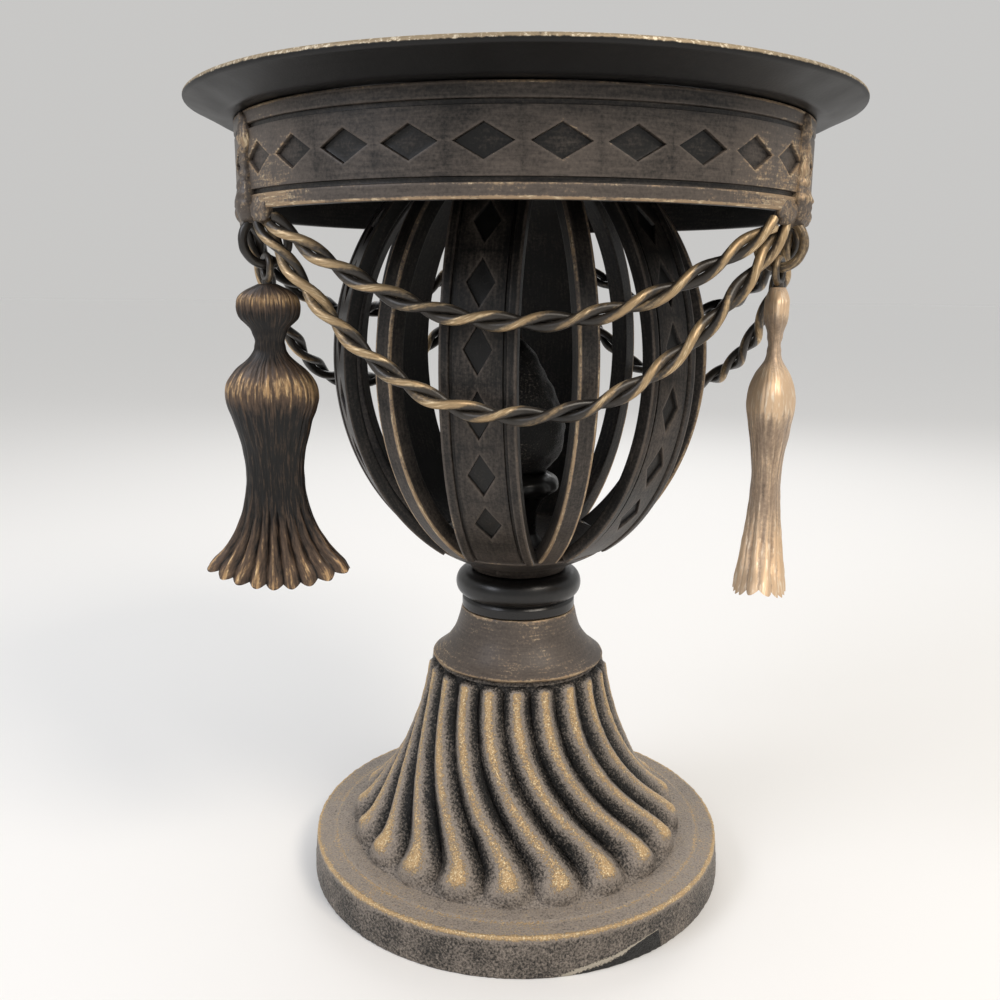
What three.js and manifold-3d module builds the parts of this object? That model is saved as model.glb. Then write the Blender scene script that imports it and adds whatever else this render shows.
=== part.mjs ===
// Candle stand: a plate for a pillar candle on an open cage globe and a twisted, gadrooned foot.
// A band of diamonds runs under the plate, and wire swags and three loose tassels hang from it.
// Millimetres, +Z up, origin on the table under the middle of the foot. The front faces -Y.
import * as THREE from 'three';
import { mergeVertices } from 'three/addons/utils/BufferGeometryUtils.js';
import Module from 'manifold-3d';

const wasm = await Module();
wasm.setup();

// Clearance between pieces that touch
const GAP = 0.3;

// Facets round the turned pieces, the slim pieces, and the rod, the screw and their bores
const ROUND_SIDES = 24;
const SLIM_SIDES = 14;
const BORE_SIDES = 12;

// Cast foot
const FOOT_RADIUS = 62;
const FOOT_HEIGHT = 65;
const FOOT_WALL = 4;
const FOOT_DECK = 15;
const PLINTH_HEIGHT = 12;
const PLINTH_TAPER = 0.8;
const PLINTH_EDGE = 0.7;
const LOBE_COUNT = 21;
const LOBE_TWIST_DEG = 32;
const LOBE_RELIEF = 0.66;
const LOBE_END_RADIUS = 50;
const SHOULDER_RADIUS = 24;
const SHOULDER_EDGE = 1;

// The bell line's two handles, as shares of its way in and of its way up
const BELL_LOW_HANDLE = [0.33, 0.06];
const BELL_HIGH_HANDLE = [0.84, 0.4];

// Where a lobe's round lower end stops and its round upper end starts, along the bell line
const LOBE_BULB_SHARE = 0.17;
const LOBE_TOP_SHARE = 0.96;

// The part of the bell line in which the lobes turn. Below and above it they run straight.
const TWIST_START_SHARE = 0.2;
const TWIST_END_SHARE = 0.95;

// Where a lobe's points lie across it: -1 is the valley before it, 0 its crest
const LOBE_POINTS = [-1, -0.5, 0, 0.5];

// Collar and bead under the cage
const COLLAR_HEIGHT = 15.2;
const COLLAR_RADIUS = 25.2;
const BEAD_HEIGHT = 11.2;
const BEAD_BAND_HEIGHT = 2.6;
const BEAD_BAND_RADIUS = 16.6;
const BEAD_GROOVE = 0.8;
const BEAD_RADIUS = 18.4;
const BEAD_END_RADIUS = 14.6;

// The collar's outline from its foot up, as shares of its radius and of its height
const COLLAR_OUTLINE = [
  [1, 0],
  [1.01, 0.05],
  [0.975, 0.09],
  [0.9, 0.19],
  [0.82, 0.34],
  [0.75, 0.51],
  [0.7, 0.74],
  [0.665, 1],
];

// Cage of wide straps and narrow ribs on an upright ellipsoid
const CAGE_RADIUS = 51.6;
const CAGE_HALF_HEIGHT = 61;
const BAR_PAIRS = 6;
const BAR_STEPS = 9;
const FIRST_STRAP_DEG = -11.5;
const STRAP_WIDTH = 19;
const STRAP_THICKNESS = 3.5;
const STRAP_RAIL = 3.4;
const STRAP_PANEL_DEPTH = 0.6;
const STRAP_DIAMOND_WIDTH = 7;
const STRAP_DIAMOND_LENGTH = 12.4;
const STRAP_DIAMOND_PITCH = 15.9;
const STRAP_DIAMOND_OFFSET = 6;
const STRAP_DIAMOND_DEPTH = 0.9;
const RIB_WIDTH = 5.5;
const RIB_THICKNESS = 4.75;
const HUB_NECK_RADIUS = 13.8;
const HUB_NECK_FLARE = 1.5;
const HUB_THICKNESS = 5.7;
const HUB_SEAT_RADIUS = 10;

// Finial inside the cage
const FINIAL_BEAD_HEIGHT = 22.7;
const FINIAL_BEAD_RADIUS = 11.4;
const FINIAL_BEAD_BULGE = 3.8;
const FINIAL_STEM_RADIUS = 5.2;
const FINIAL_FLANGE = 2.2;
const FINIAL_HEIGHT = 37.7;
const FINIAL_RADIUS = 12.9;
const FINIAL_NECK_RADIUS = 7.7;

// The finial's outline above its neck, as shares of its radius and of its height
const FINIAL_OUTLINE = [
  [0.9, 0.14],
  [1, 0.31],
  [0.84, 0.53],
  [0.57, 0.73],
  [0.24, 0.92],
  [0, 1],
];

// Tie rod with its nut, and the plate's screw
const ROD_RADIUS = 3;
const ROD_IN_FINIAL = 18;
const ROD_TAIL = 3;
const WASHER_RADIUS = 8;
const WASHER_THICKNESS = 1.5;
const NUT_RADIUS = 5.8;
const NUT_HEIGHT = 5;
const SCREW_RADIUS = 2;
const SCREW_HEAD_RADIUS = 4.2;
const SCREW_LENGTH = 8;

// Sheet plate
const PLATE_RADIUS = 88;
const PLATE_THICKNESS = 1.4;
const PLATE_BRIM_WIDTH = 9;
const PLATE_BRIM_RISE = 5;
const PLATE_LIP_RADIUS = 1;
const PLATE_SIDES = 40;

// Band under the plate, set in from its edge
const BAND_INSET = 12;
const BAND_HEIGHT = 22.8;
const BAND_WALL = 2.5;
const BAND_SEGMENTS = 3;
const BAND_RAIL = 4.6;
const BAND_PANEL_DEPTH = 0.5;
const BAND_DIAMONDS = 30;
const BAND_DIAMOND_WIDTH = 12.4;
const BAND_DIAMOND_HEIGHT = 6.6;
const BAND_DIAMOND_DEPTH = 0.9;
const BAND_ARC_STEPS = 14;

// Weld beads over the band's joints
const WELD_LUMPS = 6;
const WELD_LUMP_RADIUS = 3;
const WELD_FOOT_LUMP_RADIUS = 4.2;
const WELD_SMALL_SHARE = 0.85;
const WELD_WANDER = 0.9;
const WELD_WANDER_STEP = 2.4;

// Hooks, and the tassels that hang on them
const HOOK_WIRE = 2.3;
const HOOK_INSET = 4;
const HOOK_BEND_RADIUS = 5.6;
const HOOK_SWEEP_DEG = 300;
const EYE_WIRE = 1.8;
const EYE_HOLE_RADIUS = 2;
const EYE_SHANK_RADIUS = 1.1;
const EYE_SHANK_LENGTH = 5;
const TASSEL_YAWS_DEG = [60, 16, 0];
const TASSEL_FLUTES = 18;
const TASSEL_FLUTE_DEPTH = 1;
const TASSEL_END_RISE = 4;

// A tassel's half width and half thickness at heights below its top
const TASSEL_BODY = [
  [0, 2.4, 1.8],
  [1.3, 5.2, 2.4],
  [4.6, 7.9, 2.9],
  [8.4, 7.2, 2.7],
  [11, 4.7, 1.9],
  [17.2, 4.7, 1.9],
  [21, 8.8, 4.2],
  [27.5, 11.8, 5.8],
  [34.5, 9.8, 5],
  [43, 7.7, 3.8],
  [53, 7.3, 3.5],
];
const TASSEL_SKIRT = [
  [47, 6.6, 3],
  [54, 8, 3.8],
  [63, 10.6, 4.5],
  [70.5, 14.8, 5.3],
  [76, 18.8, 6],
];

// Wire swags, each a twisted pair
const SWAG_WIRE = 2.4;
const SWAG_PITCH = 23;
const SWAG_SIDES = 5;
const SWAG_STEPS_PER_TURN = 5;
const SWAG_LINE_POINTS = 240;
const SWAG_STANDOFF = 4.4;
const SWAG_FALL_POWER = 2.4;
const UPPER_SWAG_SAG = 22.9;
const UPPER_SWAG_END_DEG = 51.5;
const LOWER_SWAG_SAG = 44.9;
const LOWER_SWAG_END_DEG = 57;
const SWAGS = [
  { name: 'upper_swag', sag: UPPER_SWAG_SAG, endDeg: UPPER_SWAG_END_DEG },
  { name: 'lower_swag', sag: LOWER_SWAG_SAG, endDeg: LOWER_SWAG_END_DEG },
];

// Radii that follow the plate's
const bandRadius = PLATE_RADIUS - BAND_INSET;
const plateFloorRadius = PLATE_RADIUS - PLATE_BRIM_WIDTH;

// Heights of the stack, from the foot up
const collarBottom = FOOT_HEIGHT + GAP;
const beadBottom = collarBottom + COLLAR_HEIGHT + GAP;
const beadTop = beadBottom + BEAD_HEIGHT;
const cageCentre = beadTop + CAGE_HALF_HEIGHT;
const hubBottom = beadTop + GAP;
const finialBeadBottom = hubBottom + HUB_THICKNESS + GAP;
const finialBottom = finialBeadBottom + FINIAL_BEAD_HEIGHT + GAP;
const plateUnder = cageCentre + CAGE_HALF_HEIGHT;
const bandTop = plateUnder - GAP;
const bandBottom = bandTop - BAND_HEIGHT;
const footDeckUnder = FOOT_HEIGHT - FOOT_DECK;
const washerBottom = footDeckUnder - GAP - WASHER_THICKNESS;
const nutBottom = washerBottom - GAP - NUT_HEIGHT;
const boreRadius = ROD_RADIUS + GAP;

// The inner corners of a strap and of a rib just clear each other at this radius
const strapHalf = STRAP_WIDTH / 2;
const ribHalf = RIB_WIDTH / 2 + GAP;
const spread = (strapHalf + ribHalf) / Math.tan(Math.PI / BAR_PAIRS) / 2;
const barFootRadius = spread + Math.sqrt(spread ** 2 + strapHalf * ribHalf);
const hubRimRadius = rimRadius(barFootRadius, Math.min(STRAP_THICKNESS, RIB_THICKNESS));

// Hook, eye and tassel hang in one line under each joint of the band
const hookRadius = bandRadius - HOOK_INSET;
const hookCentre = bandBottom - GAP - HOOK_WIRE / 2 - HOOK_BEND_RADIUS;
const hookLowest = hookCentre - HOOK_BEND_RADIUS;
const eyeRingRadius = EYE_HOLE_RADIUS + EYE_WIRE / 2;
const eyeCentre = hookLowest + HOOK_WIRE / 2 + GAP - EYE_HOLE_RADIUS;
const tasselTop = eyeCentre - EYE_HOLE_RADIUS - EYE_WIRE - GAP;

// The swags run from the band's middle line in to just outside the cage
const swagEndRadius = bandRadius - BAND_WALL / 2;
const swagMiddleRadius = CAGE_RADIUS + SWAG_STANDOFF;

const castBlack = new THREE.MeshStandardMaterial({ color: 0x2a2522, roughness: 0.75, metalness: 0.5 });
const rubbedBlack = new THREE.MeshStandardMaterial({ color: 0x1d1a18, roughness: 0.5, metalness: 0.6 });
const rubbedBronze = new THREE.MeshStandardMaterial({ color: 0x6b5440, roughness: 0.55, metalness: 0.7 });
const steel = new THREE.MeshStandardMaterial({ color: 0x77787a, roughness: 0.4, metalness: 0.9 });

const { degToRad, lerp, smoothstep } = THREE.MathUtils;
const stand = new THREE.Group();

// The radius on the cage's ellipsoid whose inner side, a depth further in, lies at a given radius
function rimRadius(innerRadius, depth) {
  let radius = innerRadius;
  for (let i = 0; i < 8; i += 1) {
    const outward = (CAGE_HALF_HEIGHT * radius) / CAGE_RADIUS;
    const upward = Math.sqrt(CAGE_RADIUS ** 2 - radius ** 2);
    radius = innerRadius + (depth * outward) / Math.hypot(outward, upward);
  }
  return radius;
}

// Adds a named piece, turned about the stand's axis by an azimuth from the front
function addPiece(name, geometry, material, azimuthDeg = 0) {
  const mesh = new THREE.Mesh(geometry, material);
  mesh.name = name;
  mesh.rotation.z = degToRad(azimuthDeg);
  stand.add(mesh);
  return mesh;
}

// A point at a radius, an azimuth from the front and a height
function polar(radius, azimuth, height) {
  return new THREE.Vector3(radius * Math.sin(azimuth), -radius * Math.cos(azimuth), height);
}

// The solid of a closed geometry, for joins and cuts
function solidOf(geometry) {
  const bare = geometry.clone();
  bare.deleteAttribute('normal');
  bare.deleteAttribute('uv');
  const merged = mergeVertices(bare, 1e-5);
  const index = merged.index.array;
  const triangles = [];
  for (let i = 0; i < index.length; i += 3) {
    const corners = [index[i], index[i + 1], index[i + 2]];
    if (new Set(corners).size === 3) triangles.push(...corners);
  }
  return new wasm.Manifold(new wasm.Mesh({
    numProp: 3,
    vertProperties: new Float32Array(merged.attributes.position.array),
    triVerts: new Uint32Array(triangles),
  }));
}

// The geometry of a solid
function geometryOf(solid) {
  const mesh = solid.getMesh();
  const geometry = new THREE.BufferGeometry();
  geometry.setAttribute('position', new THREE.BufferAttribute(mesh.vertProperties, 3));
  geometry.setIndex(new THREE.BufferAttribute(mesh.triVerts, 1));
  geometry.computeVertexNormals();
  return geometry;
}

// A geometry less a list of cutters
function cut(geometry, cutters) {
  let solid = solidOf(geometry);
  for (const cutter of cutters) solid = solid.subtract(solidOf(cutter));
  return geometryOf(solid);
}

// A body turned about the stand's axis from points of radius and height
function turned(profile, segments) {
  const points = profile.map(([radius, height]) => new THREE.Vector2(Math.max(radius, 0), height));
  return new THREE.LatheGeometry(points, segments).rotateX(Math.PI / 2);
}

// A turned ring, whose profile closes on itself
function turnedRing(profile, segments) {
  return turned([...profile, profile[0]], segments);
}

// An upright cylinder between two heights
function drum(radius, bottom, top, segments) {
  const height = top - bottom;
  return new THREE.CylinderGeometry(radius, radius, height, segments)
    .rotateX(Math.PI / 2)
    .translate(0, 0, bottom + height / 2);
}

// A closed body through rings of equally many points, with caps cut as the triangles given
function loft(rings, capTriangles) {
  const count = rings[0].length;
  const positions = rings.flat().flatMap((point) => point.toArray());
  const faces = [];
  for (let i = 0; i + 1 < rings.length; i += 1) {
    for (let j = 0; j < count; j += 1) {
      const a = i * count + j;
      const b = i * count + ((j + 1) % count);
      faces.push([a, b, b + count], [a, b + count, a + count]);
    }
  }
  const last = (rings.length - 1) * count;
  for (const [a, b, c] of capTriangles ?? fan(count)) {
    faces.push([c, b, a], [last + a, last + b, last + c]);
  }
  const geometry = new THREE.BufferGeometry();
  geometry.setAttribute('position', new THREE.Float32BufferAttribute(positions, 3));
  const inward = signedVolume(positions, faces) < 0;
  geometry.setIndex(faces.flatMap((face) => (inward ? face.toReversed() : face)));
  geometry.computeVertexNormals();
  return geometry;
}

// Triangles that fan across a convex ring of so many points
function fan(count) {
  return Array.from({ length: count - 2 }, (_, i) => [0, i + 1, i + 2]);
}

// Triangles across a section that needn't be convex, each in the section's own order
function capOf(section) {
  const outline = section.map(([x, y]) => new THREE.Vector2(x, y));
  return THREE.ShapeUtils.triangulateShape(outline, []).map((face) => face.toSorted((a, b) => a - b));
}

// The volume inside a closed list of faces, below zero where they face inward
function signedVolume(positions, faces) {
  const corner = (i) => new THREE.Vector3().fromArray(positions, 3 * i);
  return faces.reduce((sum, [a, b, c]) => sum + corner(a).dot(corner(b).cross(corner(c))) / 6, 0);
}

// The bell line of the foot, in radius and height, on which the lobes lie
function bellLine() {
  const low = new THREE.Vector2(LOBE_END_RADIUS, PLINTH_HEIGHT);
  const high = new THREE.Vector2(SHOULDER_RADIUS, FOOT_HEIGHT - SHOULDER_EDGE);
  const handle = ([inward, upward]) => new THREE.Vector2(
    lerp(low.x, high.x, inward),
    lerp(low.y, high.y, upward),
  );
  return new THREE.CubicBezierCurve(low, handle(BELL_LOW_HANDLE), handle(BELL_HIGH_HANDLE), high);
}

// A point of the bell line moved outward along its normal
function bellPoint(bell, share, rise) {
  const tangent = bell.getTangent(share);
  return bell.getPoint(share).add(new THREE.Vector2(tangent.y, -tangent.x).multiplyScalar(rise));
}

// How far a station lies past the straight part of a lobe: 0 on it, 1 at the lobe's end
function lobeRounding(share) {
  if (share < LOBE_BULB_SHARE) return 1 - share / LOBE_BULB_SHARE;
  return Math.max(0, (share - LOBE_TOP_SHARE) / (1 - LOBE_TOP_SHARE));
}

// Stations along the bell line, closer together at the lobes' round ends
function lobeStations() {
  const bulb = [0, 30, 60].map((deg) => LOBE_BULB_SHARE * (1 - Math.cos(degToRad(deg))));
  const body = [0, 0.25, 0.55, 1].map((part) => lerp(LOBE_BULB_SHARE, LOBE_TOP_SHARE, part));
  const top = [40, 75].map((deg) => lerp(LOBE_TOP_SHARE, 1, Math.sin(degToRad(deg))));
  return [...bulb, ...body, ...top];
}

// One ring of the foot. Each lobe is a low half oval, and the ring turns with the twist.
function lobeRing(bell, share) {
  const halfWidth = (Math.PI * bell.getPoint(share).x) / LOBE_COUNT;
  const rounding = lobeRounding(share);
  const turned = smoothstep(share, TWIST_START_SHARE, TWIST_END_SHARE);
  const twist = degToRad(LOBE_TWIST_DEG) * (1 - turned);
  const ring = [];
  for (let lobe = 0; lobe < LOBE_COUNT; lobe += 1) {
    for (const side of LOBE_POINTS) {
      const swell = Math.sqrt(Math.max(0, 1 - side ** 2 - rounding ** 2));
      const rise = LOBE_RELIEF * halfWidth * swell;
      const point = bellPoint(bell, share, rise);
      ring.push(polar(point.x, twist + ((lobe + side / 2) * 2 * Math.PI) / LOBE_COUNT, point.y));
    }
  }
  return ring;
}

// A plain ring of the foot, with as many points as a lobed one
function plainRing(radius, height, twist) {
  const count = LOBE_POINTS.length * LOBE_COUNT;
  return Array.from({ length: count }, (_, i) => (
    polar(radius, twist + ((i - LOBE_POINTS.length / 2) * 2 * Math.PI) / count, height)
  ));
}

// The foot: a plinth and a bell of twisted lobes, hollow below and bored for the tie rod
function footGeometry() {
  const bell = bellLine();
  const twist = degToRad(LOBE_TWIST_DEG);
  const wallTop = FOOT_RADIUS - PLINTH_TAPER;
  const rings = [
    plainRing(FOOT_RADIUS, 0, twist),
    plainRing(wallTop, PLINTH_HEIGHT - PLINTH_EDGE, twist),
    plainRing(wallTop - PLINTH_EDGE, PLINTH_HEIGHT, twist),
    ...lobeStations().map((share) => lobeRing(bell, share)),
    plainRing(SHOULDER_RADIUS - SHOULDER_EDGE, FOOT_HEIGHT, 0),
  ];
  const lining = [0.1, 0.3, 0.5, 0.7]
    .map((share) => bellPoint(bell, share, -FOOT_WALL))
    .filter((point) => point.y < footDeckUnder - GAP && point.x > WASHER_RADIUS + FOOT_WALL);
  const crown = lining.length ? lining.at(-1).x - GAP : FOOT_RADIUS / 2;
  const hollow = turned([
    [0, -1],
    [FOOT_RADIUS - FOOT_WALL, -1],
    [wallTop - FOOT_WALL, PLINTH_HEIGHT - FOOT_WALL],
    ...lining.map((point) => [point.x, point.y]),
    [crown, footDeckUnder],
    [0, footDeckUnder],
  ], ROUND_SIDES);
  const bore = drum(boreRadius, footDeckUnder - 1, FOOT_HEIGHT + 1, BORE_SIDES);
  return cut(loft(rings), [hollow, bore]);
}

// The collar: a turned trumpet whose rim covers the foot's shoulder
function collarGeometry() {
  return turnedRing([
    [boreRadius, collarBottom],
    ...COLLAR_OUTLINE.map(([out, up]) => [COLLAR_RADIUS * out, collarBottom + COLLAR_HEIGHT * up]),
    [boreRadius, collarBottom + COLLAR_HEIGHT],
  ], ROUND_SIDES);
}

// The bead: a ring with a round outer face over a plain band and a groove
function beadGeometry() {
  const bandEnd = beadBottom + BEAD_BAND_HEIGHT;
  const middle = (bandEnd + BEAD_GROOVE + beadTop) / 2;
  const round = [-60, -30, 0, 30, 60, 90].map((deg) => [
    BEAD_END_RADIUS + (BEAD_RADIUS - BEAD_END_RADIUS) * Math.cos(degToRad(deg)),
    middle + (beadTop - middle) * Math.sin(degToRad(deg)),
  ]);
  return turnedRing([
    [boreRadius, beadBottom],
    [BEAD_BAND_RADIUS, beadBottom],
    [BEAD_BAND_RADIUS, bandEnd],
    [BEAD_BAND_RADIUS - BEAD_GROOVE, bandEnd + BEAD_GROOVE],
    ...round,
    [boreRadius, beadTop],
  ], ROUND_SIDES);
}

// The cage's meridian between the two hubs, as a curve of radius and height
function meridian() {
  const start = Math.acos(hubRimRadius / CAGE_RADIUS);
  return new THREE.EllipseCurve(0, cageCentre, CAGE_RADIUS, CAGE_HALF_HEIGHT, -start, start);
}

// A point of a cage bar at the front: along the meridian, across the bar, in from its outer face
function barPoint(curve, share, across, depth) {
  const point = curve.getPointAt(share);
  const tangent = curve.getTangentAt(share);
  return new THREE.Vector3(across, depth * tangent.y - point.x, point.y + depth * tangent.x);
}

// A bar of a constant section, bent along the meridian from hub to hub
function barGeometry(section) {
  const curve = meridian();
  const margin = GAP / curve.getLength();
  const rings = Array.from({ length: BAR_STEPS + 1 }, (_, i) => {
    const share = lerp(margin, 1 - margin, i / BAR_STEPS);
    return section.map(([across, depth]) => barPoint(curve, share, across, depth));
  });
  return loft(rings, capOf(section));
}

// A four-sided cutter for one diamond, lying along X and Z, with its depth along Y
function diamondCutter(width, height, depth) {
  return new THREE.CylinderGeometry(1, 1, 2 * depth, 4).scale(width / 2, 1, height / 2);
}

// A wide strap: two raised rails, and a panel between them with a row of sunk diamonds
function strapGeometry() {
  const half = strapHalf;
  const panel = half - STRAP_RAIL;
  const bar = barGeometry([
    [-half, 0],
    [-panel, 0],
    [-panel, STRAP_PANEL_DEPTH],
    [panel, STRAP_PANEL_DEPTH],
    [panel, 0],
    [half, 0],
    [half, STRAP_THICKNESS],
    [-half, STRAP_THICKNESS],
  ]);
  const curve = meridian();
  const length = curve.getLength();
  const reach = (length - STRAP_DIAMOND_LENGTH) / 2 - GAP;
  const first = Math.ceil((-reach - STRAP_DIAMOND_OFFSET) / STRAP_DIAMOND_PITCH);
  const last = Math.floor((reach - STRAP_DIAMOND_OFFSET) / STRAP_DIAMOND_PITCH);
  const cutters = [];
  for (let i = first; i <= last; i += 1) {
    const share = 0.5 + (STRAP_DIAMOND_OFFSET + i * STRAP_DIAMOND_PITCH) / length;
    const tangent = curve.getTangentAt(share);
    const place = barPoint(curve, share, 0, STRAP_PANEL_DEPTH);
    cutters.push(diamondCutter(STRAP_DIAMOND_WIDTH, STRAP_DIAMOND_LENGTH, STRAP_DIAMOND_DEPTH)
      .rotateX(Math.atan2(tangent.x, tangent.y))
      .translate(place.x, place.y, place.z));
  }
  return cut(bar, cutters);
}

// A narrow rib: a plain square bar
function ribGeometry() {
  const half = RIB_WIDTH / 2;
  return barGeometry([[-half, 0], [half, 0], [half, RIB_THICKNESS], [-half, RIB_THICKNESS]]);
}

// A hub with its bore: the closed end of the cage's ellipsoid, standing on its narrow neck
function hubGeometry(bore) {
  const rimAngle = Math.asin(hubRimRadius / CAGE_RADIUS);
  const neckAngle = Math.asin((HUB_NECK_RADIUS + HUB_NECK_FLARE) / CAGE_RADIUS);
  const outer = [0, 1 / 3, 2 / 3, 1].map((share) => {
    const angle = lerp(neckAngle, rimAngle, share);
    return [CAGE_RADIUS * Math.sin(angle), cageCentre - CAGE_HALF_HEIGHT * Math.cos(angle)];
  });
  const inner = barPoint(meridian(), 0, 0, STRAP_THICKNESS);
  const bowl = turned([
    [0, hubBottom],
    [HUB_NECK_RADIUS, hubBottom],
    ...outer,
    [-inner.y, inner.z],
    [HUB_SEAT_RADIUS, hubBottom + HUB_THICKNESS],
    [0, hubBottom + HUB_THICKNESS],
  ], ROUND_SIDES);
  return cut(bowl, [bore]);
}

// The finial's bead on its stem, bored for the tie rod
function finialBeadGeometry() {
  const top = finialBeadBottom + FINIAL_BEAD_HEIGHT;
  const beadMiddle = top - FINIAL_BEAD_BULGE;
  const round = [-65, -30, 0, 30, 60, 90].map((deg) => [
    FINIAL_STEM_RADIUS + (FINIAL_BEAD_RADIUS - FINIAL_STEM_RADIUS) * Math.cos(degToRad(deg)),
    beadMiddle + FINIAL_BEAD_BULGE * Math.sin(degToRad(deg)),
  ]);
  return turnedRing([
    [boreRadius, finialBeadBottom],
    [FINIAL_STEM_RADIUS + FINIAL_FLANGE, finialBeadBottom],
    [FINIAL_STEM_RADIUS, finialBeadBottom + 2 * FINIAL_FLANGE],
    [FINIAL_STEM_RADIUS, beadMiddle - 2 * FINIAL_BEAD_BULGE],
    ...round,
    [boreRadius, top],
  ], SLIM_SIDES);
}

// The finial: a bud with a blind bore for the rod's upper end
function finialGeometry() {
  const bud = new THREE.SplineCurve([
    new THREE.Vector2(FINIAL_NECK_RADIUS, 0),
    ...FINIAL_OUTLINE.map(([out, up]) => new THREE.Vector2(FINIAL_RADIUS * out, FINIAL_HEIGHT * up)),
  ]);
  const boreTop = finialBottom + ROD_IN_FINIAL + GAP;
  return turned([
    [0, boreTop],
    [boreRadius, boreTop],
    [boreRadius, finialBottom],
    ...bud.getPoints(7).map((point) => [point.x, finialBottom + point.y]),
  ], SLIM_SIDES);
}

// The sheet plate: a flat floor, a flared brim and a rolled lip, countersunk in its middle
function plateGeometry() {
  const top = plateUnder + PLATE_THICKNESS;
  const lipHeight = plateUnder + PLATE_BRIM_RISE;
  const lip = [-60, 10, 80, 150].map((deg) => [
    PLATE_RADIUS - PLATE_LIP_RADIUS + PLATE_LIP_RADIUS * Math.cos(degToRad(deg)),
    lipHeight + PLATE_LIP_RADIUS * Math.sin(degToRad(deg)),
  ]);
  return turnedRing([
    [SCREW_RADIUS + GAP, plateUnder],
    [plateFloorRadius, plateUnder],
    ...lip,
    [plateFloorRadius - PLATE_THICKNESS / 2, top],
    [SCREW_HEAD_RADIUS + GAP, top],
  ], PLATE_SIDES);
}

// One length of the band, at the front: raised edges and a row of sunk diamonds
function bandGeometry() {
  const inner = bandRadius - BAND_WALL;
  const face = bandRadius - BAND_PANEL_DEPTH;
  const section = [
    [inner, bandBottom],
    [bandRadius, bandBottom],
    [bandRadius, bandBottom + BAND_RAIL - BAND_PANEL_DEPTH],
    [face, bandBottom + BAND_RAIL],
    [face, bandTop - BAND_RAIL],
    [bandRadius, bandTop - BAND_RAIL + BAND_PANEL_DEPTH],
    [bandRadius, bandTop],
    [inner, bandTop],
  ];
  const halfAngle = Math.PI / BAND_SEGMENTS - GAP / 2 / bandRadius;
  const rings = Array.from({ length: BAND_ARC_STEPS + 1 }, (_, i) => {
    const azimuth = lerp(-halfAngle, halfAngle, i / BAND_ARC_STEPS);
    return section.map(([radius, height]) => polar(radius, azimuth, height));
  });
  const pitch = (2 * Math.PI) / BAND_DIAMONDS;
  const count = BAND_DIAMONDS / BAND_SEGMENTS;
  const cutters = Array.from({ length: count }, (_, i) => (
    diamondCutter(BAND_DIAMOND_WIDTH, BAND_DIAMOND_HEIGHT, BAND_DIAMOND_DEPTH)
      .translate(0, -face, (bandBottom + bandTop) / 2)
      .rotateZ((i - (count - 1) / 2) * pitch)
  ));
  return cut(loft(rings, capOf(section)), cutters);
}

// A hook, at the front: a wire bent nearly into a ring, from the band outward and round below
function hookGeometry(wire) {
  const steps = 10;
  const sides = 5;
  const rings = Array.from({ length: steps + 1 }, (_, i) => {
    const bend = degToRad(HOOK_SWEEP_DEG) * (i / steps);
    const out = new THREE.Vector3(0, -Math.sin(bend), Math.cos(bend));
    const centre = new THREE.Vector3(0, -hookRadius, hookCentre).addScaledVector(out, HOOK_BEND_RADIUS);
    return Array.from({ length: sides }, (_unused, j) => {
      const turn = (j * 2 * Math.PI) / sides;
      const point = centre.clone().addScaledVector(out, (wire / 2) * Math.cos(turn));
      point.x += (wire / 2) * Math.sin(turn);
      return point;
    });
  });
  return loft(rings);
}

// A weld bead, at the front: lumps that wander up the joint, clear of the band and the hook
function weldGeometry() {
  const lumps = Array.from({ length: WELD_LUMPS }, (_, i) => {
    const lowest = bandBottom + WELD_LUMP_RADIUS;
    const height = lerp(lowest, bandTop - WELD_LUMP_RADIUS, i / (WELD_LUMPS - 1));
    const upper = WELD_LUMP_RADIUS * (i % 2 ? WELD_SMALL_SHARE : 1);
    const size = i ? upper : WELD_FOOT_LUMP_RADIUS;
    return solidOf(new THREE.IcosahedronGeometry(size, 0)
      .rotateZ(i)
      .translate(WELD_WANDER * Math.sin(WELD_WANDER_STEP * i), -bandRadius, height));
  });
  const joined = lumps.reduce((sum, lump) => sum.add(lump));
  const clearBand = drum(bandRadius + GAP, bandBottom - 2 * WELD_LUMP_RADIUS, bandTop + 1, 72);
  return geometryOf(joined
    .subtract(solidOf(clearBand))
    .subtract(solidOf(hookGeometry(HOOK_WIRE + 2 * GAP))));
}

// An eye, at the front: a ring round the hook's lowest point, on a shank down into the tassel
function eyeGeometry() {
  const ring = new THREE.TorusGeometry(eyeRingRadius, EYE_WIRE / 2, 5, 10).rotateX(Math.PI / 2);
  const shankTop = -eyeRingRadius;
  const shank = drum(EYE_SHANK_RADIUS, shankTop - EYE_WIRE / 2 - EYE_SHANK_LENGTH, shankTop, 8);
  return geometryOf(solidOf(ring).add(solidOf(shank)))
    .translate(0, -hookRadius, eyeCentre);
}

// An oval ring of a tassel. Its flutes stand out by a depth, and its lower end can rise sideways.
function ovalRing([drop, halfWidth, halfThickness], count, flute, endRise) {
  return Array.from({ length: count }, (_, i) => {
    const turn = (i * 2 * Math.PI) / count;
    const out = flute * (i % 2 ? -0.5 : 0.5);
    return new THREE.Vector3(
      (halfWidth + out) * Math.cos(turn),
      (halfThickness + out) * Math.sin(turn),
      endRise * Math.cos(turn) ** 2 - out - drop,
    );
  });
}

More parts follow.
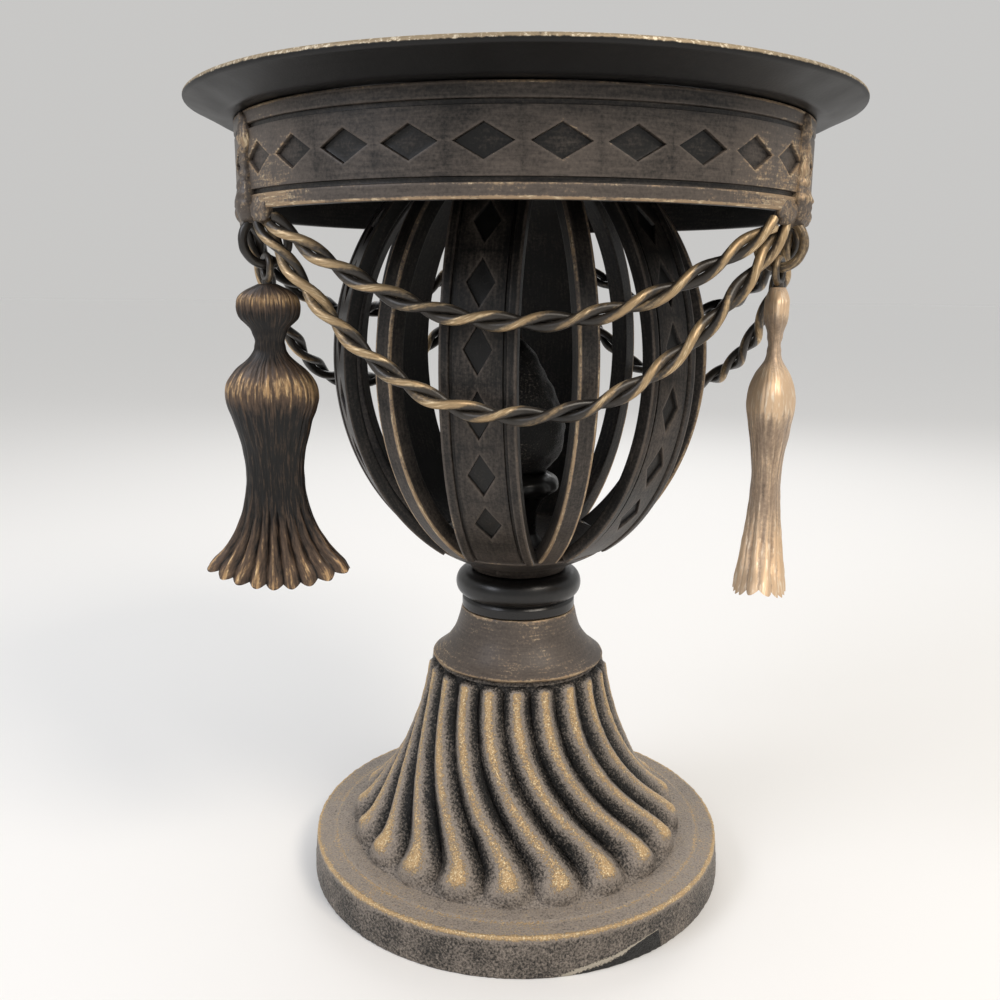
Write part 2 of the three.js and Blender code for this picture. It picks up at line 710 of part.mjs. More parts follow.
// A tassel about its own axis, hanging from height zero: a flattened bulb, waist and fluted skirt
function tasselGeometry() {
  const body = loft(TASSEL_BODY.map((row) => ovalRing(row, 12, 0, 0)));
  const skirtTop = TASSEL_SKIRT[0][0];
  const skirtBottom = TASSEL_SKIRT.at(-1)[0];
  const skirt = loft(TASSEL_SKIRT.map((row) => {
    const share = (row[0] - skirtTop) / (skirtBottom - skirtTop);
    return ovalRing(row, 2 * TASSEL_FLUTES, TASSEL_FLUTE_DEPTH * share, TASSEL_END_RISE * share ** 2);
  }));
  const hole = drum(EYE_SHANK_RADIUS + GAP, -EYE_SHANK_LENGTH - GAP, 1, 8);
  return geometryOf(solidOf(body).add(solidOf(skirt)).subtract(solidOf(hole)));
}

// The middle line of a swag: it bows in from the band and falls away from its ends
function swagPoint({ sag, endDeg }, endHeight, side) {
  const radius = lerp(swagMiddleRadius, swagEndRadius, side ** 2);
  const height = endHeight - sag * (1 - Math.abs(side) ** SWAG_FALL_POWER);
  return polar(radius, degToRad(endDeg) * side, height);
}

// How far a wire lies from the pair's middle line. The chords between its rings cut across the
// twist, so it lies that much further out.
function swagOffset() {
  const facetWidth = SWAG_WIRE * Math.cos(Math.PI / (2 * SWAG_SIDES));
  return (facetWidth + GAP / 2) / 2 / Math.cos(Math.PI / SWAG_STEPS_PER_TURN);
}

// One wire of a swag at the front. The pair turns a whole number of half turns, so that at both
// ends one wire lies over the other.
function swagWireGeometry(swag, phase) {
  const offset = swagOffset();
  const endArc = swagEndRadius * degToRad(swag.endDeg);
  const endSlope = Math.atan((swag.sag * SWAG_FALL_POWER) / endArc);
  const endHeight = bandBottom - GAP - (offset + SWAG_WIRE / 2) * Math.cos(endSlope);
  const line = new THREE.CatmullRomCurve3(Array.from({ length: SWAG_LINE_POINTS + 1 }, (_, i) => (
    swagPoint(swag, endHeight, (2 * i) / SWAG_LINE_POINTS - 1)
  )));
  line.arcLengthDivisions = 4 * SWAG_LINE_POINTS;
  const halfTurns = Math.round((2 * line.getLength()) / SWAG_PITCH);
  const steps = Math.ceil((halfTurns * SWAG_STEPS_PER_TURN) / 2);
  const rings = Array.from({ length: steps + 1 }, (_, i) => {
    const centre = line.getPointAt(i / steps);
    const along = line.getTangentAt(i / steps);
    const out = new THREE.Vector3(centre.x, centre.y, 0).normalize();
    out.addScaledVector(along, -out.dot(along)).normalize();
    const down = new THREE.Vector3().crossVectors(along, out);
    const twist = phase - (halfTurns * Math.PI * i) / steps;
    centre.addScaledVector(out, offset * Math.cos(twist));
    centre.addScaledVector(down, offset * Math.sin(twist));
    return Array.from({ length: SWAG_SIDES }, (_unused, j) => {
      const turn = (j * 2 * Math.PI) / SWAG_SIDES;
      return centre.clone()
        .addScaledVector(out, (SWAG_WIRE / 2) * Math.cos(turn))
        .addScaledVector(down, (SWAG_WIRE / 2) * Math.sin(turn));
    });
  });
  return loft(rings);
}

// Foot, collar and bead, and the rod that clamps them
addPiece('base_foot', footGeometry(), castBlack);
addPiece('base_collar', collarGeometry(), rubbedBlack);
addPiece('neck_bead', beadGeometry(), rubbedBlack);
const rodTop = finialBottom + ROD_IN_FINIAL;
addPiece('tie_rod', drum(ROD_RADIUS, nutBottom - ROD_TAIL, rodTop, BORE_SIDES), steel);
addPiece('rod_washer', turnedRing([
  [boreRadius, washerBottom],
  [WASHER_RADIUS, washerBottom],
  [WASHER_RADIUS, washerBottom + WASHER_THICKNESS],
  [boreRadius, washerBottom + WASHER_THICKNESS],
], BORE_SIDES), steel);
addPiece('rod_nut', cut(
  drum(NUT_RADIUS, nutBottom, nutBottom + NUT_HEIGHT, 6),
  [drum(boreRadius, nutBottom - 1, nutBottom + NUT_HEIGHT + 1, BORE_SIDES)],
), steel);

// Cage. The upper hub is a hub turned over, so its bore is drawn upside down.
const rodBore = drum(boreRadius, hubBottom - 1, finialBeadBottom, BORE_SIDES);
addPiece('lower_hub', hubGeometry(rodBore), rubbedBlack);
const strap = strapGeometry();
const rib = ribGeometry();
for (let i = 0; i < BAR_PAIRS; i += 1) {
  const azimuth = FIRST_STRAP_DEG + (i * 360) / BAR_PAIRS;
  addPiece(`cage_strap_${i + 1}`, strap, rubbedBlack, azimuth);
  addPiece(`cage_rib_${i + 1}`, rib, rubbedBlack, azimuth + 180 / BAR_PAIRS);
}
const plateTop = plateUnder + PLATE_THICKNESS;
const screwBoreEnd = 2 * cageCentre - (plateTop - SCREW_LENGTH - GAP);
const screwBore = drum(SCREW_RADIUS + GAP, hubBottom - 1, screwBoreEnd, BORE_SIDES);
const upperHub = addPiece('upper_hub', hubGeometry(screwBore), rubbedBlack);
upperHub.rotation.x = Math.PI;
upperHub.position.z = 2 * cageCentre;
addPiece('finial_bead', finialBeadGeometry(), castBlack);
addPiece('finial', finialGeometry(), castBlack);

// Plate with its countersunk screw
addPiece('plate', plateGeometry(), rubbedBlack);
addPiece('plate_screw', turned([
  [0, plateTop - SCREW_LENGTH],
  [SCREW_RADIUS, plateTop - SCREW_LENGTH],
  [SCREW_RADIUS, plateTop - PLATE_THICKNESS],
  [SCREW_HEAD_RADIUS, plateTop],
  [0, plateTop],
], BORE_SIDES), steel);

// Band, with a weld and a hook under each of its joints
const bandSegment = bandGeometry();
const weld = weldGeometry();
const hook = hookGeometry(HOOK_WIRE);
const eye = eyeGeometry();
const tassel = tasselGeometry();
for (let i = 0; i < BAND_SEGMENTS; i += 1) {
  const middle = (i * 360) / BAND_SEGMENTS;
  const joint = middle - 180 / BAND_SEGMENTS;
  addPiece(`band_segment_${i + 1}`, bandSegment, rubbedBlack, middle);
  addPiece(`joint_weld_${i + 1}`, weld, rubbedBlack, joint);
  addPiece(`hook_${i + 1}`, hook, rubbedBronze, joint);
  addPiece(`tassel_eye_${i + 1}`, eye, rubbedBronze, joint);
  const hung = addPiece(`tassel_${i + 1}`, tassel, rubbedBronze, joint + TASSEL_YAWS_DEG[i]);
  hung.position.copy(polar(hookRadius, degToRad(joint), tasselTop));
}

// Swags, each of two wires, in the three bays between the hooks
for (const swag of SWAGS) {
  const wires = [swagWireGeometry(swag, -Math.PI / 2), swagWireGeometry(swag, Math.PI / 2)];
  for (let i = 0; i < BAND_SEGMENTS; i += 1) {
    const azimuth = (i * 360) / BAND_SEGMENTS;
    addPiece(`${swag.name}_${i + 1}_wire_a`, wires[0], rubbedBronze, azimuth);
    addPiece(`${swag.name}_${i + 1}_wire_b`, wires[1], rubbedBronze, azimuth);
  }
}

export default stand;
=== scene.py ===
"""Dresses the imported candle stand: finer forms, rubbed metal finishes, floor, lamps and camera.

Sizes are in millimetres until a mesh is made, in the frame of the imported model: +Z up, the
front facing -Y, the origin on the table under the middle of the foot. An azimuth is counted
from the front, towards +X. A field for wear holds values of "rub": where it holds more than
one, the even wear comes first, and then what each worn place adds to it. A field for a place,
such as bulb_at or skirt_at, holds where it starts or has its middle, and how far it reaches.
"""
import logging
import math
from collections.abc import Callable
from dataclasses import dataclass, field
from enum import Enum
from typing import ClassVar

import bmesh
import bpy
import numpy as np
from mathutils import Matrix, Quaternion, Vector, noise


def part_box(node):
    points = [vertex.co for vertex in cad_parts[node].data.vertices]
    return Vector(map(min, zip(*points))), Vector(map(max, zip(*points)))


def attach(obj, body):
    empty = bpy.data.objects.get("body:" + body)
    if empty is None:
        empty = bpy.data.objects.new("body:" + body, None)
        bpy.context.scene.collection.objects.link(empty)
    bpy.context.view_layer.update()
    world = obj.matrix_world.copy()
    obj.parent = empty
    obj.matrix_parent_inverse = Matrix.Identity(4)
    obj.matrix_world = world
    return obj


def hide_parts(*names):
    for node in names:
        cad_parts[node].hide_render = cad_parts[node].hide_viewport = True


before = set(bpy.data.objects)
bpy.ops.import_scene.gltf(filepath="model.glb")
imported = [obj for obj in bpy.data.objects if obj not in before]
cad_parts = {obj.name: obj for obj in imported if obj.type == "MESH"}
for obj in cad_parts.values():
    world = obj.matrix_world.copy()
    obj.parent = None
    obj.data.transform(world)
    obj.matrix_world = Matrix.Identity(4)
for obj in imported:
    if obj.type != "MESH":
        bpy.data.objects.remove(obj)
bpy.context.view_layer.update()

Array = np.ndarray
Material = bpy.types.Material
Tree = bpy.types.NodeTree
Socket = bpy.types.NodeSocket

LOG = logging.getLogger("candle_stand")
MM = 0.001
# Without a seed, Blender sets its noise from the clock.
SEED = 7
TURN = 2 * math.pi
# The band's joints, from which everything below it hangs, and the bays between them.
JOINTS = 3
JOINT_AZIMUTHS = [math.radians(-60 + 120 * i) for i in range(JOINTS)]
BAY_AZIMUTHS = [math.radians(120 * i) for i in range(JOINTS)]
# The "chip" value far outside a chip.
NO_CHIP = -9.0
# The radius at which a turned form ends on its axis, and the gap that welds two points.
ON_AXIS = 0.02
SAME_POINT = 0.004
# How far towards its middle each row lies that closes a ring.
CAP_SHARES = (0, 0.35, 0.7, 1.0)
# A guard longer than any edge of the foot.
NO_GUARD = 9.0


def linear(hex_colour: str) -> tuple[float, float, float, float]:
    """Turns an sRGB hex colour to linear.

    Args:
        hex_colour: Six hex digits, with or without a leading #.

    Returns:
        Linear red, green and blue, and an alpha of 1.
    """
    digits = hex_colour.lstrip("#")
    shares = [int(digits[i : i + 2], 16) / 255 for i in (0, 2, 4)]
    curved = [s / 12.92 if s <= 0.04045 else ((s + 0.055) / 1.055) ** 2.4 for s in shares]
    return (*curved, 1.0)


def add_node(
    tree: Tree,
    kind: str,
    settings: dict | None = None,
    links: dict | None = None,
) -> bpy.types.Node:
    """Adds a node with its settings and links.

    Args:
        tree: The node tree that takes it.
        kind: The node's type name.
        settings: Values by property name, or by input name or number.
        links: Output sockets by the name or number of the input that each feeds.

    Returns:
        The new node.
    """
    node = tree.nodes.new(kind)
    for key, value in (settings or {}).items():
        if isinstance(key, str) and hasattr(node, key):
            setattr(node, key, value)
        else:
            node.inputs[key].default_value = value
    for key, socket in (links or {}).items():
        tree.links.new(socket, node.inputs[key])
    return node


def per_mm(size: float) -> float:
    """Gives the texture scale at which a pattern's features come out at a size in millimetres."""
    return 1 / (size * MM)


class Grain(Enum):
    """How a finish's streaks run: the pattern's scale along the surface and across it."""

    CLOUDY = (1.0, 1.0)
    ALONG = (0.12, 1.0)


@dataclass(frozen=True)
class RubbedMetal:
    """Black lacquer over iron or steel, with bronze paste rubbed over what stands out.

    The lacquer is satin and dark, and the paste is a dull metal with brighter specks. The
    mesh's "rub" value says how far a point stands out: about -1.3 in bare lacquer, and 1.6
    where the paste is thickest. On the twisted wires it also holds painted light, higher on
    the faces that look out and up, and on the foot's up-facing flats it raises the pale haze,
    which is partly painted sheen.

    Attributes:
        name: The material's name.
        ground: Colour of the lacquer.
        haze: Colour of the lacquer where paste was wiped thin; on the cast foot it is also
        painted sheen on what faces up.
        rub: Colour of the paste.
        speck: Colour of the brightest specks in it.
        hold: The "rub" value at which paste covers about half of the surface.
        haze_share: How much of the haze shows.
        ground_rough: Roughness of the lacquer.
        rub_rough: Roughness of the paste.
        grain_mm: Size of the surface's grain.
        bump_mm: Height of the grain.
        speck_mm: Size of the specks.
        cloud_mm: Size of the patches in which the wear varies.
        streak: Which way the wiping ran.
        most: How much of the paste's colour shows where it lies thickest.
        shares: How much the streaks, the clouds and the grain each break up the paste.
        shine: How strongly the lacquer mirrors, 0.5 being clear lacquer.
        chipped: Whether the mesh also says where the lacquer is chipped.
        haze_reach: How far below "hold" the haze begins.
    """

    name: str
    ground: str
    haze: str
    rub: str
    speck: str
    hold: float
    haze_share: float
    ground_rough: float
    rub_rough: float
    grain_mm: float
    bump_mm: float
    speck_mm: float
    cloud_mm: float
    streak: Grain
    most: float = 0.9
    shares: tuple[float, float, float] = (1.3, 0.8, 1.1)
    shine: float = 0.35
    chipped: bool = False
    haze_reach: float = 1.0

    STREAK_SIZE: ClassVar[float] = 1.6
    PASTE_FADE: ClassVar[tuple[float, float]] = (0.24, 0.3)
    HAZE_FULL: ClassVar[float] = 0.1
    SPECK_FADE: ClassVar[tuple[float, float]] = (0.52, 0.66)
    CLOUD_ROUGH: ClassVar[float] = 0.22
    PASTE_METAL: ClassVar[float] = 0.7
    PASTE_RISE: ClassVar[float] = 0.35
    CHIP_RAGGED: ClassVar[float] = 2.6
    CHIP_START: ClassVar[tuple[float, float]] = (1.6, 1.7)
    CHIP_EDGE_END: ClassVar[tuple[float, float]] = (2.7, 3.1)
    CHIP_BARE: ClassVar[str] = "0e0d0b"
    CHIP_EDGE: ClassVar[str] = "c4baa9"
    CHIP_GLOSS: ClassVar[float] = 0.3

    def build(self) -> Material:
        """Builds the material.

        Returns:
            The material.
        """
        material = bpy.data.materials.new(self.name)
        material.use_nodes = True
        tree = material.node_tree
        tree.nodes.clear()
        place = add_node(tree, "ShaderNodeTexCoord").outputs["Object"]
        run = add_node(tree, "ShaderNodeUVMap", {"uv_map": "run"}).outputs["UV"]
        wiped = add_node(
            tree, "ShaderNodeMapping", {"Scale": (*self.streak.value, 1)}, {"Vector": run}
        ).outputs["Vector"]
        strokes = place if self.streak is Grain.CLOUDY else wiped
        patterns = []
        for size, detail, fray, vector in (
            (self.speck_mm * self.STREAK_SIZE, 3.0, 0.6, strokes),
            (self.cloud_mm, 2.0, 0.5, place),
            (self.grain_mm, 4.0, 0.62, place),
            (self.speck_mm, 2.0, 0.7, strokes),
        ):
            values = {"Scale": per_mm(size), "Detail": detail, "Roughness": fray}
            pattern = add_node(tree, "ShaderNodeTexNoise", values, {"Vector": vector})
            patterns.append(pattern.outputs["Fac"])
        streaks, clouds, grain, specks = patterns
        height = add_node(tree, "ShaderNodeAttribute", {"attribute_name": "rub"}).outputs["Fac"]
        for share, pattern in zip(self.shares, (streaks, clouds, grain)):
            scaled = {"operation": "MULTIPLY_ADD", 1: share}
            height = add_node(
                tree, "ShaderNodeMath", scaled, {0: pattern, 2: height}
            ).outputs[0]
        middle = sum(self.shares) / 2 + self.hold
        layers = []
        for low, high, most, value in (
            (middle - self.PASTE_FADE[0], middle + self.PASTE_FADE[1], self.most, height),
            (middle - self.haze_reach, middle - self.HAZE_FULL, self.haze_share, height),
            (*self.SPECK_FADE, 1.0, specks),
        ):
            values = {"interpolation_type": "SMOOTHSTEP"}
            values |= {"From Min": low, "From Max": high, "To Max": most}
            layer = add_node(tree, "ShaderNodeMapRange", values, {"Value": value})
            layers.append(layer.outputs["Result"])
        paste, thin, bright = layers
        bright = add_node(
            tree, "ShaderNodeMath", {"operation": "MULTIPLY"}, {0: bright, 1: paste}
        ).outputs[0]
        colour = add_node(
            tree,
            "ShaderNodeMix",
            {"data_type": "RGBA", 6: linear(self.ground), 7: linear(self.haze)},
            {0: thin},
        ).outputs[2]
        for share, tone in ((paste, self.rub), (bright, self.speck)):
            colour = add_node(
                tree,
                "ShaderNodeMix",
                {"data_type": "RGBA", 7: linear(tone)},
                {0: share, 6: colour},
            ).outputs[2]
        rough = add_node(
            tree,
            "ShaderNodeMapRange",
            {"To Min": self.ground_rough, "To Max": self.rub_rough},
            {"Value": paste},
        ).outputs["Result"]
        rough = add_node(
            tree,
            "ShaderNodeMath",
            {"operation": "MULTIPLY_ADD", 1: self.CLOUD_ROUGH},
            {0: clouds, 2: rough},
        ).outputs[0]
        metal = add_node(
            tree, "ShaderNodeMath", {"operation": "MULTIPLY", 1: self.PASTE_METAL}, {0: paste}
        ).outputs[0]
        relief = add_node(
            tree,
            "ShaderNodeMath",
            {"operation": "MULTIPLY_ADD", 1: self.PASTE_RISE},
            {0: paste, 2: grain},
        ).outputs[0]
        if self.chipped:
            colour, rough, relief = self.chip(tree, grain, colour, rough, relief)
        bump = add_node(
            tree,
            "ShaderNodeBump",
            {"Strength": 1.0, "Distance": self.bump_mm * MM},
            {"Height": relief},
        ).outputs["Normal"]
        shader = add_node(
            tree,
            "ShaderNodeBsdfPrincipled",
            {"Specular IOR Level": self.shine},
            {"Base Color": colour, "Roughness": rough, "Metallic": metal, "Normal": bump},
        )
        add_node(tree, "ShaderNodeOutputMaterial", {}, {"Surface": shader.outputs["BSDF"]})
        return material

    def chip(
        self,
        tree: Tree,
        grain: Socket,
        colour: Socket,
        rough: Socket,
        relief: Socket,
    ) -> tuple[Socket, Socket, Socket]:
        """Breaks the coat away below a jagged pale edge, where the mesh's "chip" value says.

        Args:
            tree: The material's node tree.
            grain: The grain pattern.
            colour: The coat's colour.
            rough: The coat's roughness.
            relief: The coat's height.

        Returns:
            The colour, roughness and height with the chip in them.
        """
        depth = add_node(tree, "ShaderNodeAttribute", {"attribute_name": "chip"}).outputs["Fac"]
        ragged = add_node(
            tree,
            "ShaderNodeMath",
            {"operation": "MULTIPLY_ADD", 1: self.CHIP_RAGGED},
            {0: grain, 2: depth},
        ).outputs[0]
        steps = []
        for (low, high), first, last in ((self.CHIP_START, 0, 1), (self.CHIP_EDGE_END, 1, 0)):
            values = {"From Min": low, "From Max": high, "To Min": first, "To Max": last}
            step = add_node(tree, "ShaderNodeMapRange", values, {"Value": ragged})
            steps.append(step.outputs["Result"])
        bare, edge = steps
        edge = add_node(
            tree, "ShaderNodeMath", {"operation": "MULTIPLY"}, {0: edge, 1: bare}
        ).outputs[0]
        for share, tone in ((bare, self.CHIP_BARE), (edge, self.CHIP_EDGE)):
            colour = add_node(
                tree,
                "ShaderNodeMix",
                {"data_type": "RGBA", 7: linear(tone)},
                {0: share, 6: colour},
            ).outputs[2]
        smooth = add_node(
            tree, "ShaderNodeMath", {"operation": "MULTIPLY", 1: self.CHIP_GLOSS}, {0: bare}
        ).outputs[0]
        rough = add_node(
            tree, "ShaderNodeMath", {"operation": "SUBTRACT"}, {0: rough, 1: smooth}
        ).outputs[0]
        relief = add_node(
            tree, "ShaderNodeMath", {"operation": "SUBTRACT"}, {0: relief, 1: bare}
        ).outputs[0]
        return colour, rough, relief


def polar(radius: Array, azimuth: Array, height: Array) -> Array:
    """Gives points at radii, azimuths and heights, which may broadcast against each other."""
    radius, azimuth, height = np.broadcast_arrays(radius, azimuth, height)
    return np.stack([radius * np.sin(azimuth), -radius * np.cos(azimuth), height], axis=-1)


def swept(line: Array, azimuth: Array) -> Array:
    """Sweeps a line of radius and height through a row of azimuths."""
    return polar(line[:, :1], azimuth[None, :], line[:, 1:2])


def turned_about(points: Array, azimuth: float) -> Array:
    """Turns points about the stand's axis by an azimuth."""
    c, s = math.cos(azimuth), math.sin(azimuth)
    return points @ np.array([[c, s, 0], [-s, c, 0], [0, 0, 1]])


def mixed(low: float, high: float, share: Array) -> Array:
    """Gives the value at a share of the way from low to high."""
    return low + (high - low) * share


def ramp(value: Array, start: float, length: float) -> Array:
    """Rises from 0 to 1 over a length from a start, easing in and out."""
    share = np.clip((value - start) / length, 0, 1)
    return share * share * (3 - 2 * share)


def hump(value: Array, middle: float, reach: float) -> Array:
    """Gives 1 at the middle, and less and less to either side of it."""
    return np.exp(-(((value - middle) / reach) ** 2))


def unit(ways: Array) -> Array:
    """Gives directions a length of one."""
    return ways / np.linalg.norm(ways, axis=-1, keepdims=True)


def circle(count: int) -> Array:
    """Gives evenly spaced angles round a full turn."""
    return np.arange(count) * TURN / count


def smooth_rows(table: Array, count: int) -> Array:
    """Draws a smooth line through rows of numbers.

    Args:
        table: Rows that the line passes through, the first column rising.
        count: How many rows to return.

    Returns:
        Rows along the line, spaced evenly by the first column.
    """
    table = np.asarray(table, float)
    x = table[:, 0]
    slope = np.gradient(table, x, axis=0)
    wanted = np.linspace(x[0], x[-1], count)
    k = np.clip(np.searchsorted(x, wanted) - 1, 0, len(x) - 2)
    step = (x[k + 1] - x[k])[:, None]
    t = ((wanted - x[k]) / (x[k + 1] - x[k]))[:, None]
    start = (1 + 2 * t) * (1 - t) ** 2 * table[k] + t * (1 - t) ** 2 * step * slope[k]
    end = t * t * (3 - 2 * t) * table[k + 1] + t * t * (t - 1) * step * slope[k + 1]
    return start + end


def rounded(
    profile: list[tuple[float, float, float]],
    steps: int = 4,
    guard: float = 0.35,
    most: float = 0.48,
) -> Array:
    """Rounds the corners of a profile.

    Args:
        profile: Points as first and second coordinate and the corner's radius.
        steps: Points in each rounded corner, less one.
        guard: How far from a corner the wear of its edge ends. Where no edge is as long, the
            wear fades out along the whole edge.
        most: How much of an edge a rounded corner may take up.

    Returns:
        The rounded profile's points, two numbers each, and 1 on a corner or 0 off it.
    """
    corners = [np.array(point[:2], float) for point in profile]
    out: list[Array] = []
    for i, (x, y, radius) in enumerate(profile):
        here = corners[i]
        if radius <= 0 or i in (0, len(profile) - 1):
            out.append(np.array([x, y, 0.0]))
            continue
        back, ahead = corners[i - 1] - here, corners[i + 1] - here
        reach_back, reach_ahead = np.linalg.norm(back), np.linalg.norm(ahead)
        half = math.acos(np.clip(back @ ahead / (reach_back * reach_ahead), -1, 1)) / 2
        reach = min(radius / math.tan(half), most * reach_back, most * reach_ahead)
        first, last = here + back / reach_back * reach, here + ahead / reach_ahead * reach
        if reach + guard < most * reach_back:
            out.append(np.array([*(first + back / reach_back * guard), 0.0]))
        for t in np.linspace(0, 1, steps + 1):
            point = (1 - t) ** 2 * first + 2 * t * (1 - t) * here + t * t * last
            out.append(np.array([*point, 1.0]))
        if reach + guard < most * reach_ahead:
            out.append(np.array([*(last + ahead / reach_ahead * guard), 0.0]))
    return np.array(out)


def roughened(points: Array, size: float, amount: float, seed: float = 0.0) -> Array:
    """Moves points by a smooth random pattern.

    Args:
        points: The points, in millimetres.
        size: Size of the pattern's lumps.
        amount: The furthest move.
        seed: Picks the pattern.

    Returns:
        The moved points.
    """
    flat = points.reshape(-1, 3)
    shift = [noise.noise_vector(Vector(p / size) + Vector((seed, 0, 0))) for p in flat]
    return (flat + amount * np.array(shift)).reshape(points.shape)


class Shell:
    """The faces of one piece, in millimetres, with its wear and the run of its surface."""

    def __init__(self) -> None:
        """Starts an empty shell."""
        self.points: list[Array] = []
        self.values: dict[str, list[Array]] = {"rub": [], "chip": []}
        self.faces: list[list[int]] = []
        self.runs: list[tuple[float, float]] = []
        self.count = 0

    def take(self, points: Array, rub: Array | float, chip: Array | float) -> int:
        """Takes points with their wear.

        Args:
            points: The points.
            rub: How far each stands out.
            chip: How far each lies inside a chip.

        Returns:
            The number of the first.
        """
        flat = points.reshape(-1, 3)
        shape = points.shape[:-1]
        first = self.count
        self.points.append(flat)
        self.values["rub"].append(np.broadcast_to(rub, shape).reshape(-1))
        self.values["chip"].append(np.broadcast_to(chip, shape).reshape(-1))
        self.count += len(flat)
        return first

    def grid(
        self,
        points: Array,
        rub: Array | float = 0.0,
        wrap: bool = False,
        chip: Array | float = NO_CHIP,
        lay: Array | None = None,
        turned: bool = False,
    ) -> None:
        """Adds a grid of four-sided faces.

        Args:
            points: Rows and columns of points.
            rub: How far each point stands out.
            wrap: Whether the last column joins the first.
            chip: How far each point lies inside a chip.
            lay: Each point's run along the surface and place across it, if not by rows.
            turned: Whether the surface runs along the rows, as on a turned piece.
        """
        rows, columns = points.shape[:2]
        first = self.take(points, rub, chip)
        closed = np.concatenate([points, points[:, :1]], axis=1) if wrap else points
        if lay is None:
            along = np.linalg.norm(np.diff(closed, axis=0), axis=2).mean(axis=1)
            across = np.linalg.norm(np.diff(closed, axis=1), axis=2).mean(axis=0)
            along = np.concatenate([[0], np.cumsum(along)])[:, None]
            across = np.concatenate([[0], np.cumsum(across)])[None, :]
            lay = np.stack(np.broadcast_arrays(along, across)[:: -1 if turned else 1], axis=-1)
        elif wrap:
            lay = np.concatenate([lay, lay[:, :1]], axis=1)
        for i in range(rows - 1):
            for j in range(closed.shape[1] - 1):
                k = (j + 1) % columns
                a, b = first + i * columns, first + (i + 1) * columns
                self.faces.append([a + j, a + k, b + k, b + j])
                self.runs.extend(
                    tuple(lay[p, q]) for p, q in ((i, j), (i, j + 1), (i + 1, j + 1), (i + 1, j))
                )

    def close(self, ring: Array, rub: float = 0.0) -> None:
        """Closes a ring of points with rows that shrink to its middle.

        Args:
            ring: The ring's points.
            rub: How far they stand out.
        """
        middle = ring.mean(axis=0)
        shares = np.array(CAP_SHARES)[:, None, None]
        self.grid(ring + shares * (middle - ring), rub, wrap=True)

    def barrel(
        self,
        rings: Array,
        rub: Array | float = 0.0,
        ends: tuple[float, float] = (0.0, 0.0),
    ) -> None:
        """Adds rings of points as a closed barrel.

        Args:
            rings: Rows of points, each a ring.
            rub: How far each point stands out.
            ends: How far the first and the last end stand out.
        """
        self.grid(rings, rub, wrap=True)
        self.close(rings[0], ends[0])
        self.close(rings[-1], ends[1])

    def plate(self, ring: Array, rub: float = 0.0) -> None:
        """Closes a ring of points with one flat face.

        Args:
            ring: The ring's points.
            rub: How far they stand out.
        """
        first = self.take(ring, rub, NO_CHIP)
        self.faces.append(list(range(first, first + len(ring))))
        self.runs.extend((float(x), float(y)) for x, y in ring[:, :2])

    def copy_turned(self, azimuth: float) -> "Shell":
        """Copies the shell, turned about the stand's axis.

        Args:
            azimuth: How far the copy is turned.

        Returns:
            The copy.
        """
        other = Shell()
        other.points = [turned_about(points, azimuth) for points in self.points]
        other.values = self.values
        other.faces, other.runs, other.count = self.faces, self.runs, self.count
        return other

    def build(
        self,
        name: str,
        finish: Material,
        slot: str,
        nodes: list[str],
        body: str = "stand",
        crease: float = 38,
    ) -> bpy.types.Object:
        """Makes the piece and seats it in the frame.

        Args:
            name: The piece's name.
            finish: Its material.
            slot: A material slot's name; not used.
            nodes: The CAD nodes that it stands for.
            body: The body that it rides on.
            crease: The angle, in degrees, from which an edge stays sharp.

        Returns:
            The piece.
        """
        mesh = bpy.data.meshes.new(name)
        mesh.from_pydata((np.concatenate(self.points) * MM).tolist(), [], self.faces)
        for key, values in self.values.items():
            layer = mesh.attributes.new(key, "FLOAT", "POINT")
            layer.data.foreach_set("value", np.concatenate(values).astype(np.float32))
        layer = mesh.uv_layers.new(name="run")
        layer.data.foreach_set("uv", (np.array(self.runs, np.float32) * MM).ravel())
        welded = bmesh.new()
        welded.from_mesh(mesh)
        bmesh.ops.remove_doubles(welded, verts=welded.verts, dist=SAME_POINT * MM)
        bmesh.ops.recalc_face_normals(welded, faces=welded.faces)
        welded.to_mesh(mesh)
        open_edges = sum(not edge.is_manifold for edge in welded.edges)
        welded.free()
        mesh.shade_smooth()
        mesh.set_sharp_from_angle(angle=math.radians(crease))
        mesh.materials.append(finish)
        piece = bpy.data.objects.new(name, mesh)
        bpy.context.scene.collection.objects.link(piece)
        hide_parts(*nodes)
        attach(piece, body)
        LOG.info("%s: %d faces, %d open edges", name, len(mesh.polygons), open_edges)
        return piece


def spun(profile: Array, sides: int, ends_meet: bool = True) -> Array:
    """Spins a profile of radius and height about the stand's axis.

    Args:
        profile: Points of radius and height.
        sides: Points round the axis.
        ends_meet: Whether the profile's last point joins its first.

    Returns:
        Rows of points, one for each point of the profile.
    """
    line = np.concatenate([profile, profile[:1]]) if ends_meet else profile
    return swept(line, circle(sides))


def turned_piece(
    profile: Array,
    sides: int,
    lumps: tuple[float, float],
    wear: Array | float,
    along_rows: bool = False,
) -> Shell:
    """Spins a closed profile to a slightly uneven ring.

    Args:
        profile: Points of radius and height.
        sides: Points round the axis.
        lumps: Size of the uneven pattern and its furthest move.
        wear: How far each point of the profile stands out.
        along_rows: Whether the streaks run round the axis, as the tool did.

    Returns:
        The ring's shell.
    """
    points = roughened(spun(profile, sides), *lumps)
    points[-1] = points[0]
    if np.ndim(wear):
        wear = np.append(wear, wear[0])[:, None]
    shell = Shell()
    shell.grid(points, wear, wrap=True, turned=along_rows)
    return shell


def span(node: str) -> tuple[Array, Array]:
    """Gives a CAD node's lowest and highest corner, in millimetres."""
    low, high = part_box(node)
    return np.array(low) / MM, np.array(high) / MM


